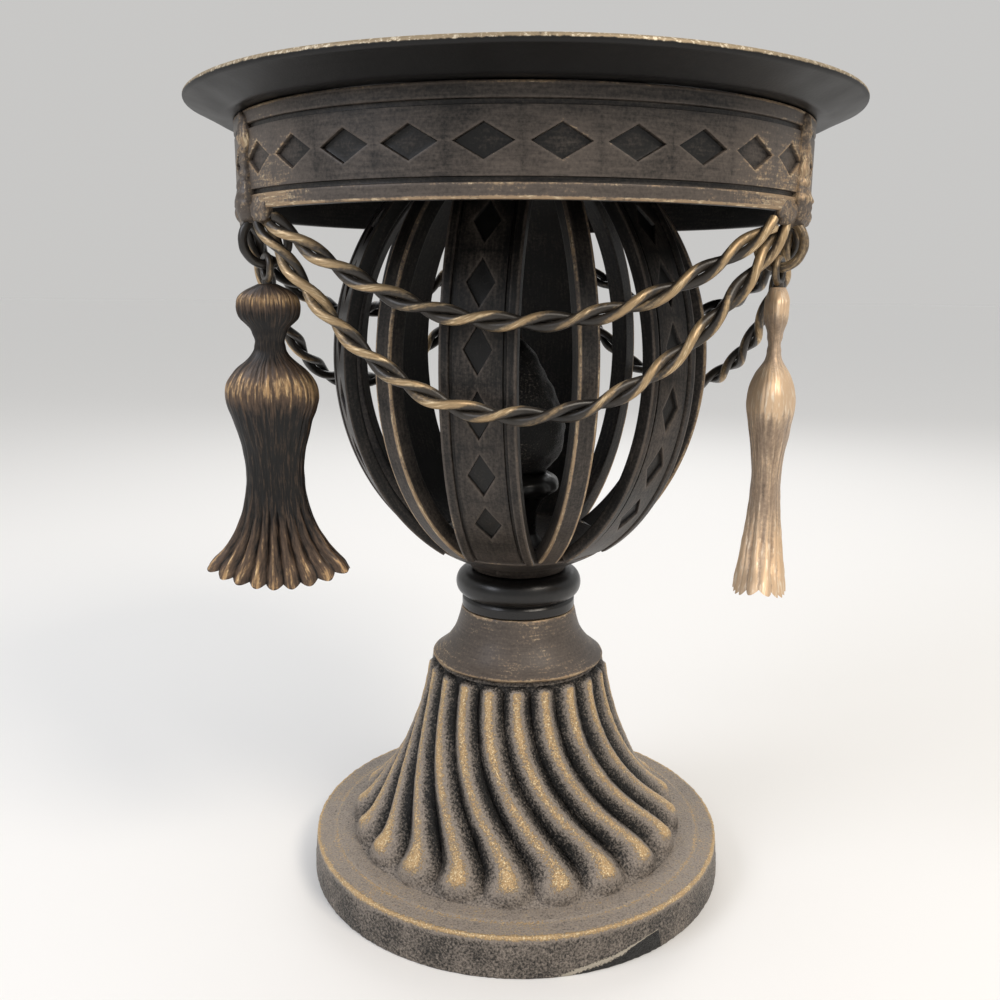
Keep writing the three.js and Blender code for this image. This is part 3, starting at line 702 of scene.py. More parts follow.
@dataclass
class CastFoot:
    """The hollow cast foot: a plinth under a bell of lobes that swing aside half way up."""

    radius: float = 61.9
    height: float = 65.0
    plinth: float = 12.0
    taper: float = 0.8
    edge: float = 0.8
    step_radius: float = 55.4
    step: float = 0.35
    lobes: int = 21
    lobe_points: int = 18
    lobe_share: float = 0.96
    twist_deg: float = 32.0
    twist_shares: tuple[float, float] = (0.2, 0.95)
    relief: float = 0.66
    lobe_end: float = 50.0
    shoulder: float = 24.0
    low_handle: tuple[float, float] = (0.33, 0.06)
    high_handle: tuple[float, float] = (0.84, 0.4)
    bulb_share: float = 0.17
    top_share: float = 0.98
    wall: float = 4.0
    deck_under: float = 50.0
    bore: float = 3.3
    grit: float = 0.17
    end_rows: int = 14
    flank_rows: int = 46
    lining_rows: int = 16
    row_gap: float = 0.9
    round_share: float = 0.62
    crest_wear: tuple[float, float, float] = (0.94, 0.4, 0.24)
    bulb_at: tuple[float, float] = (0.13, 0.13)
    top_at: tuple[float, float] = (0.72, 0.25)
    # Painted sheen: the lower valleys, like the plinth's deck and ledge, are worn into the pale
    # haze, as if light from above showed on what faces up.
    valley_wear_and_sheen: tuple[float, float] = (-0.45, 0.62)
    valley_at: tuple[float, float] = (0.0, 0.4)
    crown_wear: float = 0.05
    deck_wear_and_sheen: float = 0.4
    ledge_wear_and_sheen: float = 0.42
    step_wear: float = 0.3
    rim_wear: float = 1.6
    wall_wear: float = -1.3
    wall_top: float = 1.6
    chip_ends: tuple[float, float] = (8, 39)
    chip_cut: float = 60.0
    chip_steep: float = 6.0
    chip_steep_at: tuple[float, float] = (27, 11)
    chip_edge: tuple[tuple[float, float], ...] = (
        (7, -1.5), (11, 0.9), (16, 2.4), (24, 3.7), (33, 5.0), (38, 5.8), (45, 5.2),
    )

    def bell(self, share: Array) -> tuple[Array, Array]:
        """Works out the bell's line.

        Args:
            share: Shares of the way from its foot to its top.

        Returns:
            The line's points and its outward normals there.
        """
        low = np.array([self.lobe_end, self.plinth])
        high = np.array([self.shoulder, self.height - 1])
        near = low + (high - low) * np.array(self.low_handle)
        far = low + (high - low) * np.array(self.high_handle)
        t = np.asarray(share)[:, None]
        point = (1 - t) ** 3 * low + 3 * t * (1 - t) ** 2 * near
        point = point + 3 * t * t * (1 - t) * far + t**3 * high
        way = (1 - t) ** 2 * (near - low) + 2 * t * (1 - t) * (far - near) + t * t * (high - far)
        way = unit(way)
        return point, np.stack([way[:, 1], -way[:, 0]], axis=1)

    def around(self, twist: Array | float) -> Array:
        """Spreads a ring's points over the lobes.

        Args:
            twist: How far the ring is turned.

        Returns:
            The points' azimuths.
        """
        count = self.lobes * self.lobe_points
        start = -self.lobe_points / 2
        return np.asarray(twist) + (np.arange(count) + start) * TURN / count

    def lobed(self) -> tuple[Array, Array]:
        """Shapes the lobes.

        Returns:
            Their rows of points, from the shoulder down, and how worn each point is, with painted
            sheen low in the valleys.
        """
        ends = np.sin(np.linspace(0, math.pi / 2, self.end_rows))
        share = np.concatenate([
            1 - (1 - self.top_share) * (1 - ends[::-1][:-1]),
            np.linspace(self.top_share, self.bulb_share, self.flank_rows)[:-1],
            self.bulb_share * (1 - ends),
        ])
        point, normal = self.bell(share)
        bulb = np.clip(1 - share / self.bulb_share, 0, 1)
        cap = np.clip((share - self.top_share) / (1 - self.top_share), 0, 1)
        rounding = np.maximum(bulb, cap)[:, None]
        side = (np.arange(self.lobe_points) * 2 / self.lobe_points - 1) / self.lobe_share
        across = np.tile(side, self.lobes)[None, :]
        half = (math.pi * point[:, 0] / self.lobes)[:, None]
        reach = np.sqrt(np.clip(across**2 + rounding**2, 0, 1))
        swell = self.round_share * np.sqrt(1 - reach**2)
        swell += (1 - self.round_share) * (0.5 + 0.5 * np.cos(math.pi * reach))
        rise = self.relief * half * swell
        first, last = self.twist_shares
        twist = math.radians(self.twist_deg) * (1 - ramp(share, first, last - first))
        azimuth = np.stack([self.around(t) for t in twist])
        points = polar(
            point[:, :1] + rise * normal[:, :1], azimuth, point[:, 1:] + rise * normal[:, 1:]
        )
        even, at_bulb, at_top = self.crest_wear
        crest = even + at_bulb * hump(share, *self.bulb_at) + at_top * ramp(share, *self.top_at)
        even, at_bulb = self.valley_wear_and_sheen
        valley = even + at_bulb * (1 - ramp(share, *self.valley_at))
        return points, valley[:, None] + (crest - valley)[:, None] * swell**3

    def chip_depth(self, points: Array) -> Array:
        """Shapes the chip in the wall's coat: all that lies below a line over azimuths.

        Args:
            points: Points on the foot.

        Returns:
            How far they lie below the chip's edge.
        """
        azimuth = np.degrees(np.arctan2(points[..., 0], -points[..., 1]))
        edge = np.interp(azimuth, *np.array(self.chip_edge).T)
        first, last = self.chip_ends
        beyond = np.maximum(np.maximum(first - azimuth, self.chip_cut * (azimuth - last)), 0)
        taper = 1 + self.chip_steep * ramp(azimuth, *self.chip_steep_at)
        return taper * (edge - points[..., 2]) - beyond

    def build(self, cast: Material) -> None:
        """Builds the foot.

        Args:
            cast: Its finish.
        """
        shell = Shell()
        twist = math.radians(self.twist_deg)
        lobes, crest = self.lobed()
        shell.grid(roughened(lobes, 1.1, self.grit), crest, wrap=True)
        crown = rounded(guard=NO_GUARD, profile=[
            (self.shoulder, self.height - 1, 0),
            (self.shoulder - 0.9, self.height, 0.6),
            (self.bore + 1, self.height, 0),
            (self.bore, self.height - 0.6, 0),
            (self.bore, self.deck_under, 0),
        ])
        shell.grid(swept(crown, self.around(0.0)), self.crown_wear, wrap=True)
        azimuth = self.around(twist)
        top = self.radius - self.taper
        brink = self.plinth - self.step
        flat = rounded(guard=NO_GUARD, profile=[
            (self.lobe_end, self.plinth, 0),
            (self.step_radius - 0.7, self.plinth, 0.4),
            (self.step_radius, brink, 0.4),
            (top - self.edge - 0.3, brink, 0),
            (top, brink, self.edge),
            (self.radius - 0.1, 3.0, 0),
            (self.radius, 0.0, 0.5),
            (self.radius - self.wall, 0.0, 0),
        ])
        rows, wear = self.filled(flat)
        points = swept(rows, azimuth)
        chip = self.chip_depth(points)
        outer = (rows[:, 0] > top - 0.6) & (rows[:, 1] < self.plinth - self.wall_top)
        grit = roughened(points, 1.0, self.grit * 1.3, 5.0)
        grit[..., 2] = np.where(points[..., 2] < 0.4, points[..., 2], grit[..., 2])
        reach = np.hypot(grit[..., 0], grit[..., 1])
        grit[..., :2] *= np.minimum(1, self.radius / np.maximum(reach, 1e-6))[..., None]
        grit[0] = points[0]
        shell.grid(grit, wear[:, None], wrap=True, chip=np.where(outer[:, None], chip, NO_CHIP))
        lining, normal = self.bell(np.linspace(0.06, 0.8, self.lining_rows))
        lining = lining - self.wall * normal
        keep = lining[:, 1] < self.deck_under - 1.5
        inside = np.concatenate([
            [[self.radius - self.wall, 0.0], [top - self.wall, self.plinth - self.wall - 0.8]],
            lining[keep],
            [[lining[keep][-1, 0] - 1.2, self.deck_under], [self.bore, self.deck_under]],
        ])
        points = swept(inside, azimuth)
        rough = roughened(points, 1.8, 0.3, 9.0)
        rough[[0, -1]] = points[[0, -1]]
        shell.grid(rough, 0.0, wrap=True)
        shell.build("foot_casting", cast, "cast_black", ["base_foot"], crease=70)

    def filled(self, profile: Array) -> tuple[Array, Array]:
        """Adds rows where a profile's points lie far apart.

        Args:
            profile: Points of radius and height.

        Returns:
            The rows' points, and how worn each row is, with painted sheen on the up-facing deck
            and ledge.
        """
        rows = [profile[0, :2]]
        for before, after in zip(profile[:-1, :2], profile[1:, :2]):
            steps = max(1, round(float(np.linalg.norm(after - before)) / self.row_gap))
            rows.extend(before + (after - before) * i / steps for i in range(1, steps + 1))
        line = np.array(rows)
        radius, height = line.T
        rim = np.hypot(radius - (self.radius - self.taper - 0.4), height - (self.plinth - 0.9))
        # Painted sheen: the up-facing deck and ledge are worn into the pale haze.
        worn = np.where(radius > self.step_radius, self.ledge_wear_and_sheen, self.deck_wear_and_sheen)
        worn = worn + self.step_wear * hump(radius, self.step_radius, 0.4)
        worn = np.where(height < self.plinth - self.wall_top, self.wall_wear, worn)
        return line, np.maximum(worn, self.rim_wear * hump(rim, 0, 0.8))


@dataclass
class Neck:
    """The turned collar over the foot and the glossy bead on it."""

    bead_end: float = 14.6
    band_height: float = 2.6
    band_radius: float = 16.6
    groove: float = 0.8
    bore: float = 3.3
    sides: int = 120
    collar_wear: tuple[float, float, float] = (0.42, 0.6, 0.45)
    bore_wear: float = 0.1
    bead_wear: float = 0.12
    flank_rows: int = 30
    bead_rows: int = 19
    outline: tuple[tuple[float, float], ...] = (
        (0.05, 1.01), (0.09, 0.978), (0.19, 0.9), (0.34, 0.82), (0.51, 0.752), (0.74, 0.7),
        (0.97, 0.668),
    )

    def build(self, satin: Material, gloss: Material) -> None:
        """Builds the collar and the bead.

        Args:
            satin: The collar's finish.
            gloss: The bead's finish.
        """
        low, high = span("base_collar")
        tall, foot = high[2] - low[2], high[1] / self.outline[0][1]
        flank = smooth_rows(np.array(self.outline), self.flank_rows)
        side = np.stack([foot * flank[:, 1], low[2] + tall * flank[:, 0]], axis=1)
        profile = np.concatenate([
            [[self.bore, low[2]], [foot * 0.975, low[2]], [foot * 0.998, low[2] + 0.25]],
            side,
            [[side[-1, 0] - 0.3, high[2]], [self.bore, high[2]]],
        ])
        even, at_foot, at_top = self.collar_wear
        wear = even + at_foot * hump(profile[:, 1] - low[2], 0.6, 0.45)
        wear += at_top * hump(profile[:, 1], high[2], 0.5)
        wear = np.where(profile[:, 0] < self.bore + 1, self.bore_wear, wear)
        shell = turned_piece(profile, self.sides, (6.0, 0.14), wear, along_rows=True)
        shell.build("neck_collar", satin, "rubbed_black", ["base_collar"])
        low, high = span("neck_bead")
        band_end = low[2] + self.band_height
        middle = (band_end + self.groove + high[2]) / 2
        half = high[2] - middle
        turn = np.radians(np.linspace(-72, 90, self.bead_rows))
        bulge = np.stack([
            self.bead_end + (high[1] - self.bead_end) * np.cos(turn) ** 0.85,
            middle + half * np.sin(turn),
        ], axis=1)
        under = rounded([
            (self.bore, low[2], 0),
            (self.band_radius, low[2], 0.5),
            (self.band_radius, band_end, 0.6),
            (bulge[0, 0] - 0.1, bulge[0, 1] - 0.1, 0),
        ])
        profile = np.concatenate([under[:, :2], bulge, [[self.bore, high[2]]]])
        shell = turned_piece(profile, self.sides, (9.0, 0.16), self.bead_wear)
        shell.build("neck_ring", gloss, "rubbed_black", ["neck_bead"])


@dataclass
class Fasteners:
    """The rod that clamps the stack, with its washer and nut, and the plate's screw."""

    chamfer: float = 0.5
    slot_width: float = 0.9
    slot_depth: float = 0.8
    thread_pitch: float = 1.0
    thread_half: float = 0.22
    thread_lead: float = 1.0
    thread_steps: int = 8
    rod_sides: int = 20
    sides: int = 48
    screw_sides: int = 64
    shank: float = 2.0
    wear: float = 0.2

    def build(self, zinc: Material) -> None:
        """Builds the rod, the washer, the nut and the screw.

        Args:
            zinc: Their finish.
        """
        low, high = span("tie_rod")
        radius = high[1]
        length = high[2] - low[2] - 2 * self.thread_lead
        turns = np.linspace(0, length, int(length / self.thread_pitch * self.thread_steps))
        wave = np.cos(TURN * turns / self.thread_pitch)
        thread = radius - self.thread_half + self.thread_half * wave
        thread[0] = thread[-1] = radius - 0.4
        profile = np.stack([thread, low[2] + self.thread_lead + turns], axis=1)
        shell = Shell()
        shell.barrel(spun(profile, self.rod_sides, ends_meet=False), self.wear)
        shell.build("clamp_rod", zinc, "steel", ["tie_rod"], crease=60)
        low, high = span("rod_washer")
        c = self.chamfer / 2
        profile = np.array([
            [radius + 0.3, low[2]],
            [high[0] - c, low[2]],
            [high[0], low[2] + c],
            [high[0], high[2] - c],
            [high[0] - c, high[2]],
            [radius + 0.3, high[2]],
        ])
        shell = Shell()
        shell.grid(spun(profile, self.sides), self.wear, wrap=True)
        shell.build("clamp_washer", zinc, "steel", ["rod_washer"])
        low, high = span("rod_nut")
        shell = Shell()
        azimuth = circle(self.sides)
        flat = high[0] / np.cos((azimuth + math.pi / 6) % (math.pi / 3) - math.pi / 6)
        crown = np.minimum(flat, high[0] + 0.12)
        bore = np.full(self.sides, radius + self.chamfer / 2)
        rows = [
            polar(bore, azimuth, low[2]),
            polar(crown, azimuth, low[2]),
            polar(flat, azimuth, low[2] + (flat - crown) * 0.8),
            polar(flat, azimuth, high[2] - (flat - crown) * 0.8),
            polar(crown, azimuth, high[2]),
            polar(bore, azimuth, high[2]),
        ]
        shell.grid(np.stack([*rows, rows[0]]), self.wear, wrap=True)
        shell.build("clamp_nut", zinc, "steel", ["rod_nut"], crease=25)
        low, high = span("plate_screw")
        head, shank = high[0], self.shank
        azimuth = circle(self.screw_sides)
        shell = Shell()
        across = [ON_AXIS, 1.0, 2.0, 3.0, head - 0.25, head, shank, shank, shank - 0.6, ON_AXIS]
        radii = np.array(across)
        drops = np.array([0, 0, 0, 0, 0, 0.12, 1.5, 7.2, 7.9, 7.9])
        rows = polar(radii[:, None], azimuth[None, :], (high[2] - drops)[:, None])
        slot = (np.abs(rows[..., 0]) < self.slot_width / 2) & (rows[..., 2] > high[2] - 0.05)
        rows[..., 2] -= np.where(slot, self.slot_depth, 0)
        shell.barrel(rows, self.wear)
        shell.build("plate_fixing", zinc, "steel", ["plate_screw"], crease=25)


@dataclass
class DiamondBar:
    """A flat bar, drawn straight: raised rails, grooves and a panel with sunk diamonds.

    A point of it is given by its run along the bar, its place across it and its depth.
    """

    length: float
    width: float
    thickness: float
    rail: float
    panel: float
    groove: float
    pitch: float
    diamond_long: float
    diamond_wide: float
    diamond_depth: float
    first: float
    count: int
    groove_width: float = 1.0
    inner_lip: float = 0.28
    cell_steps: int = 12
    side_steps: int = 6
    plain_step: float = 1.4
    face_wear: float = 0.24
    edge_wear: float = 0.7
    back_wear: float = -0.6
    groove_wear: float = -0.45
    panel_wear: float = 0.22
    end_wear: float = 0.2

    def section(self) -> Array:
        """Draws the section's outline, from one side of the panel round the back to the other.

        Returns:
            Points of place across and depth, and how worn each is.
        """
        half, inner = self.width / 2, self.width / 2 - self.rail
        depth = self.panel + self.groove
        side = [
            (inner, self.panel, 0),
            (inner + 0.15, depth, 0.15),
            (inner + self.groove_width - 0.2, depth, 0.15),
            (inner + self.groove_width, 0.0, 0.3),
            (half, 0.0, 0.5),
            (half, self.thickness, 0.35),
        ]
        back = [(-a, d, r) for a, d, r in reversed(side)]
        outline = rounded([*side, *back], 3)
        outer = np.abs(outline[:, 0]) > half - 1.0
        outline[:, 2] *= np.where(outline[:, 1] < 0.45, np.where(outer, 1.0, 0.35), 0)
        return outline

    def stations(self) -> tuple[Array, list[float]]:
        """Shares out the diamonds along the bar.

        Returns:
            The runs at which the bar has rows, and the middles of its diamonds.
        """
        middles = [self.first + i * self.pitch for i in range(self.count)]
        starts = [m - self.pitch / 2 for m in middles]
        low, high = -self.length / 2, self.length / 2
        end = starts[-1] + self.pitch
        steps = [max(2, round(gap / self.plain_step) + 1) for gap in (starts[0] - low, high - end)]
        parts = [np.linspace(low, starts[0], steps[0])]
        for start in starts:
            parts.append(np.linspace(start, start + self.pitch, self.cell_steps + 1)[1:])
        parts.append(np.linspace(end, high, steps[1])[1:])
        return np.concatenate(parts), middles

    def cell(self, middle: float) -> tuple[Array, Array]:
        """Draws one diamond, from its cell's edge to its middle.

        Args:
            middle: The run of its middle.

        Returns:
            Rings of points of run, place across and depth, and how worn each ring is.
        """
        half, inner = self.pitch / 2, self.width / 2 - self.rail
        n, m = self.cell_steps // 2, self.side_steps // 2
        quarter = [(half, inner * k / m) for k in range(m)]
        quarter += [(half * (1 - k / n), inner) for k in range(n)]
        steps = len(quarter)
        share = np.arange(steps) / steps
        corner = np.array([[1, 0], [0, 1], [-1, 0], [0, -1]], float)
        edge = np.concatenate([
            corner[k] + share[:, None] * (corner[(k + 1) % 4] - corner[k]) for k in range(4)
        ])
        mirror = [*quarter[1:], (0.0, inner)][::-1]
        sides = ((quarter, 1, 1), (mirror, -1, 1), (quarter, -1, -1), (mirror, 1, -1))
        box = np.concatenate([np.array(part) * [a, b] for part, a, b in sides])
        shape = np.array([self.diamond_long / 2, self.diamond_wide / 2])
        rings, wear = [], []
        floor = self.panel + self.diamond_depth
        for grow, depth, worn in (
            (None, self.panel, self.panel_wear),
            (0.7, self.panel, 0.5),
            (0.3, self.panel, 0.72),
            (0.0, self.panel + 0.05, 0.8),
            (-self.inner_lip, floor - 0.05, -0.3),
            (-self.inner_lip - 0.25, floor, -0.3),
            (-self.diamond_wide / 4, floor, -0.1),
            (-self.diamond_wide / 2, floor, 0.0),
        ):
            if grow is None:
                ring = box
            else:
                scale = 1 + grow / (self.diamond_wide / 2)
                ring = edge * shape * max(scale, 0.002)
            rings.append(np.column_stack([ring + [middle, 0], np.full(len(ring), depth)]))
            wear.append(worn)
        return np.stack(rings), np.array(wear)[:, None]

    def shell(self, place: Callable, smooth: Callable) -> Shell:
        """Draws the bar.

        Args:
            place: Turns arrays of run, place across and depth to points.
            smooth: Turns arrays of run and place across to how much more each point is worn.

        Returns:
            The bar's closed shell.
        """
        shell = Shell()
        runs, middles = self.stations()
        outline = self.section()
        run, across, depth = np.broadcast_arrays(runs[:, None], outline[:, 0], outline[:, 1])
        wear = self.face_wear + self.edge_wear * outline[None, :, 2] + smooth(run, across)
        wear = np.where(depth > self.thickness * 0.8, self.back_wear, wear)
        sunk = depth > self.panel + 0.4 * self.groove
        wear = np.where(sunk, np.minimum(wear, self.groove_wear), wear)
        shell.grid(place(run, across, depth), wear, lay=np.stack([run, across + depth], axis=-1))
        inner = self.width / 2 - self.rail
        rungs = np.linspace(-inner, inner, self.side_steps + 1)[None, :]
        plain = [runs[runs <= middles[0] - self.pitch / 2 + 1e-6]]
        plain.append(runs[runs >= middles[-1] + self.pitch / 2 - 1e-6])
        for part in plain:
            run, across = np.broadcast_arrays(part[:, None], rungs)
            depth = np.full(run.shape, self.panel)
            lay = np.stack([run, across], axis=-1)
            wear = self.panel_wear + smooth(run, across)
            shell.grid(place(run, across, depth), wear, lay=lay)
        for middle in middles:
            rings, wear = self.cell(middle)
            run, across, depth = np.moveaxis(rings, -1, 0)
            wear = wear + smooth(run, across)
            shell.grid(place(run, across, depth), wear, wrap=True, lay=rings[..., :2])
        for end in (runs[0], runs[-1]):
            across = np.concatenate([outline[:, 0], rungs[0, 1:-1]])
            depth = np.concatenate([outline[:, 1], np.full(self.side_steps - 1, self.panel)])
            shell.plate(place(np.full(len(across), end), across, depth), self.end_wear)
        return shell


@dataclass
class Band:
    """The embossed band under the plate, in three lengths."""

    radius: float = 76.0
    wall: float = 2.5
    rail: float = 4.6
    diamonds: int = 30
    gap: float = 0.3
    wear: tuple[float, float, float, float] = (-0.42, 0.5, 0.5, 0.08)
    low_rail: tuple[float, float] = (6.0, 1.5)
    worn_ends: tuple[float, float] = (44.0, 26.0)

    def build(self, satin: Material) -> None:
        """Builds the three lengths.

        Args:
            satin: Their finish.
        """
        low, high = span("band_segment_1")
        middle = (low[2] + high[2]) / 2
        arc = TURN * self.radius / JOINTS
        per_bay = self.diamonds // JOINTS
        pitch = arc / per_bay
        bar = DiamondBar(
            length=arc - self.gap,
            width=high[2] - low[2],
            thickness=self.wall,
            rail=self.rail,
            panel=0.12,
            groove=0.75,
            pitch=pitch,
            diamond_long=13.0,
            diamond_wide=7.4,
            diamond_depth=1.0,
            groove_width=1.3,
            first=-pitch * (per_bay - 1) / 2,
            count=per_bay,
        )

        def place(run: Array, across: Array, depth: Array) -> Array:
            """Bends the bar round the stand."""
            return polar(self.radius - depth, run / self.radius, middle + across)

        def smooth(run: Array, across: Array) -> Array:
            """Wears the lower rail and the ends, which the hand meets first, more than the rest.

            Args:
                run: Runs along the bar.
                across: Places across it.

            Returns:
                How much more each point is worn.
            """
            even, at_rail, at_ends, varied = self.wear
            low_rail = ramp(-across, *self.low_rail)
            ends = ramp(np.abs(run), *self.worn_ends)
            return even + at_rail * low_rail + at_ends * ends + varied * np.cos(run / 9.0)

        front = bar.shell(place, smooth)
        for i in range(JOINTS):
            length = front.copy_turned(BAY_AZIMUTHS[i])
            length.build(f"band_length_{i + 1}", satin, "rubbed_black", [f"band_segment_{i + 1}"])


@dataclass
class Cage:
    """The open globe: six wide straps and six ribs between two hubs."""

    radius: float = 51.6
    half_height: float = 61.0
    pairs: int = 6
    first_deg: float = -11.5
    strap_width: float = 19.0
    strap_thickness: float = 3.5
    rib_width: float = 5.5
    rib_thickness: float = 4.75
    neck: float = 13.8
    flare: float = 1.5
    seat: float = 10.0
    seat_height: float = 5.7
    diamond_pitch: float = 15.9
    diamond_offset: float = 6.0
    diamond_long: float = 12.4
    strap_wear: tuple[float, float] = (-0.7, -0.32)
    rib_rows: int = 97
    rib_wear: tuple[float, float] = (-0.3, -0.36)
    rib_edge_wear: float = 0.84
    rib_back_wear: float = -0.5
    hub_wear: tuple[float, float] = (-0.25, 0.8)
    hub_sides: int = 96
    line: Array = field(default=None, repr=False)
    centre: float = 0.0
    half_length: float = 0.0

    def measure(self) -> None:
        """Works out the meridian from the CAD straps: its centre, its length and its points."""
        low, high = span("cage_strap_1")
        self.centre = (low[2] + high[2]) / 2
        reach = (high[2] - low[2]) / 2
        end = math.asin(min(1.0, reach / self.half_height)) - 0.001
        angle = np.linspace(-end, end, 801)
        radius = self.radius * np.cos(angle)
        height = self.half_height * np.sin(angle)
        step = np.hypot(np.diff(radius), np.diff(height))
        run = np.concatenate([[0], np.cumsum(step)])
        self.half_length = run[-1] / 2
        self.line = np.stack([run - self.half_length, radius, height, angle], axis=1)

    def place(self, run: Array, across: Array, depth: Array) -> Array:
        """Bends a bar along the meridian at the front.

        Args:
            run: Runs along the bar.
            across: Places across it.
            depth: Depths below its face.

        Returns:
            The points.
        """
        angle = np.interp(run, self.line[:, 0], self.line[:, 3])
        out = self.half_height * np.cos(angle)
        up = self.radius * np.sin(angle)
        size = np.hypot(out, up)
        radius = self.radius * np.cos(angle) - depth * out / size
        height = self.centre + self.half_height * np.sin(angle) - depth * up / size
        return np.stack(np.broadcast_arrays(across, -radius, height), axis=-1)

    def straps(self, satin: Material) -> None:
        """Builds the wide straps.

        Args:
            satin: Their finish.
        """
        pitch, offset = self.diamond_pitch, self.diamond_offset
        reach = self.half_length - self.diamond_long / 2 - 0.3
        first = math.ceil((-reach - offset) / pitch)
        last = math.floor((reach - offset) / pitch)
        lead = -self.half_length + pitch / 2 + 0.4
        tail = self.half_length - pitch / 2 - 0.4
        keep = [i for i in range(first, last + 1) if lead <= offset + i * pitch <= tail]
        bar = DiamondBar(
            length=2 * self.half_length,
            width=self.strap_width,
            thickness=self.strap_thickness,
            rail=3.4,
            panel=0.3,
            groove=0.6,
            pitch=pitch,
            diamond_long=self.diamond_long,
            diamond_wide=7.2,
            diamond_depth=0.85,
            first=offset + keep[0] * pitch,
            count=len(keep),
        )

        def smooth(run: Array, across: Array) -> Array:
            """Wears the lower half, evenly across, and leaves the upper half nearly black."""
            even, upward = self.strap_wear
            return even + upward * run / self.half_length

        self.repeat(bar.shell(self.place, smooth), 0, "strap", satin)

    def ribs(self, satin: Material) -> None:
        """Builds the narrow ribs.

        Args:
            satin: Their finish.
        """
        half, thick = self.rib_width / 2, self.rib_thickness
        outline = rounded([
            (0, 0, 0),
            (half, 0, 0.6),
            (half, thick, 0.5),
            (-half, thick, 0.5),
            (-half, 0, 0.6),
            (0, 0, 0),
        ])[:-1]
        runs = np.linspace(-self.half_length, self.half_length, self.rib_rows)[:, None]
        run, across, depth = np.broadcast_arrays(runs, outline[:, 0], outline[:, 1])
        corner = (outline[:, 2] > 0) & (outline[:, 1] < thick / 2)
        even, upward = self.rib_wear
        wear = np.where(corner[None, :], self.rib_edge_wear, even)
        wear = wear + upward * run / self.half_length
        wear = np.where(depth > thick / 2, self.rib_back_wear, wear)
        shell = Shell()
        shell.barrel(self.place(run, across, depth), wear)
        self.repeat(shell, 0.5, "rib", satin)

    def repeat(self, bar: Shell, shift: float, name: str, satin: Material) -> None:
        """Builds a bar at each of its places round the globe.

        Args:
            bar: The bar, at the front.
            shift: How far it stands from the first strap, as a share of the straps' spacing.
            name: What kind of bar it is.
            satin: Its finish.
        """
        for i in range(self.pairs):
            azimuth = math.radians(self.first_deg + (i + shift) * 360 / self.pairs)
            copy, nodes = bar.copy_turned(azimuth), [f"cage_{name}_{i + 1}"]
            copy.build(f"globe_{name}_{i + 1}", satin, "rubbed_black", nodes)

    def hub(self, name: str, node: str, bore: float, satin: Material) -> None:
        """Builds a hub: the globe's closed end on its narrow neck.

        Args:
            name: The piece's name.
            node: Its CAD node.
            bore: The radius of its hole.
            satin: Its finish.
        """
        low, high = span(node)
        upper = low[2] > self.centre
        bottom = 2 * self.centre - high[2] if upper else low[2]
        rim = high[0]
        turn = np.linspace(math.asin((self.neck + self.flare) / self.radius),
                           math.asin(rim / self.radius), 12)
        bowl = [
            (self.radius * math.sin(t), self.centre - self.half_height * math.cos(t), 0)
            for t in turn
        ]
        inner = self.place(np.array([-self.half_length]), np.zeros(1), np.array([3.5]))[0]
        profile = rounded([
            (bore, bottom, 0),
            (self.neck, bottom, 0.4),
            *bowl[:-1],
            (bowl[-1][0], bowl[-1][1], 0.5),
            (-inner[1], inner[2], 0.5),
            (self.seat, bottom + self.seat_height, 0.8),
            (bore, bottom + self.seat_height, 0),
        ])
        profile[:, 1] = 2 * self.centre - profile[:, 1] if upper else profile[:, 1]
        edge = np.hypot(profile[:, 0] - bowl[-1][0], profile[:, 1] - (
            2 * self.centre - bowl[-1][1] if upper else bowl[-1][1]
        ))
        even, at_edge = self.hub_wear
        wear = even + at_edge * hump(edge, 0, 0.7)
        shell = turned_piece(profile[:, :2], self.hub_sides, (7.0, 0.1), wear, along_rows=True)
        shell.build(name, satin, "rubbed_black", [node])

    def build(self, satin: Material) -> None:
        """Builds the globe.

        Args:
            satin: Its finish.
        """
        self.measure()
        self.straps(satin)
        self.ribs(satin)
        self.hub("globe_foot", "lower_hub", 3.3, satin)
        self.hub("globe_crown", "upper_hub", 2.3, satin)


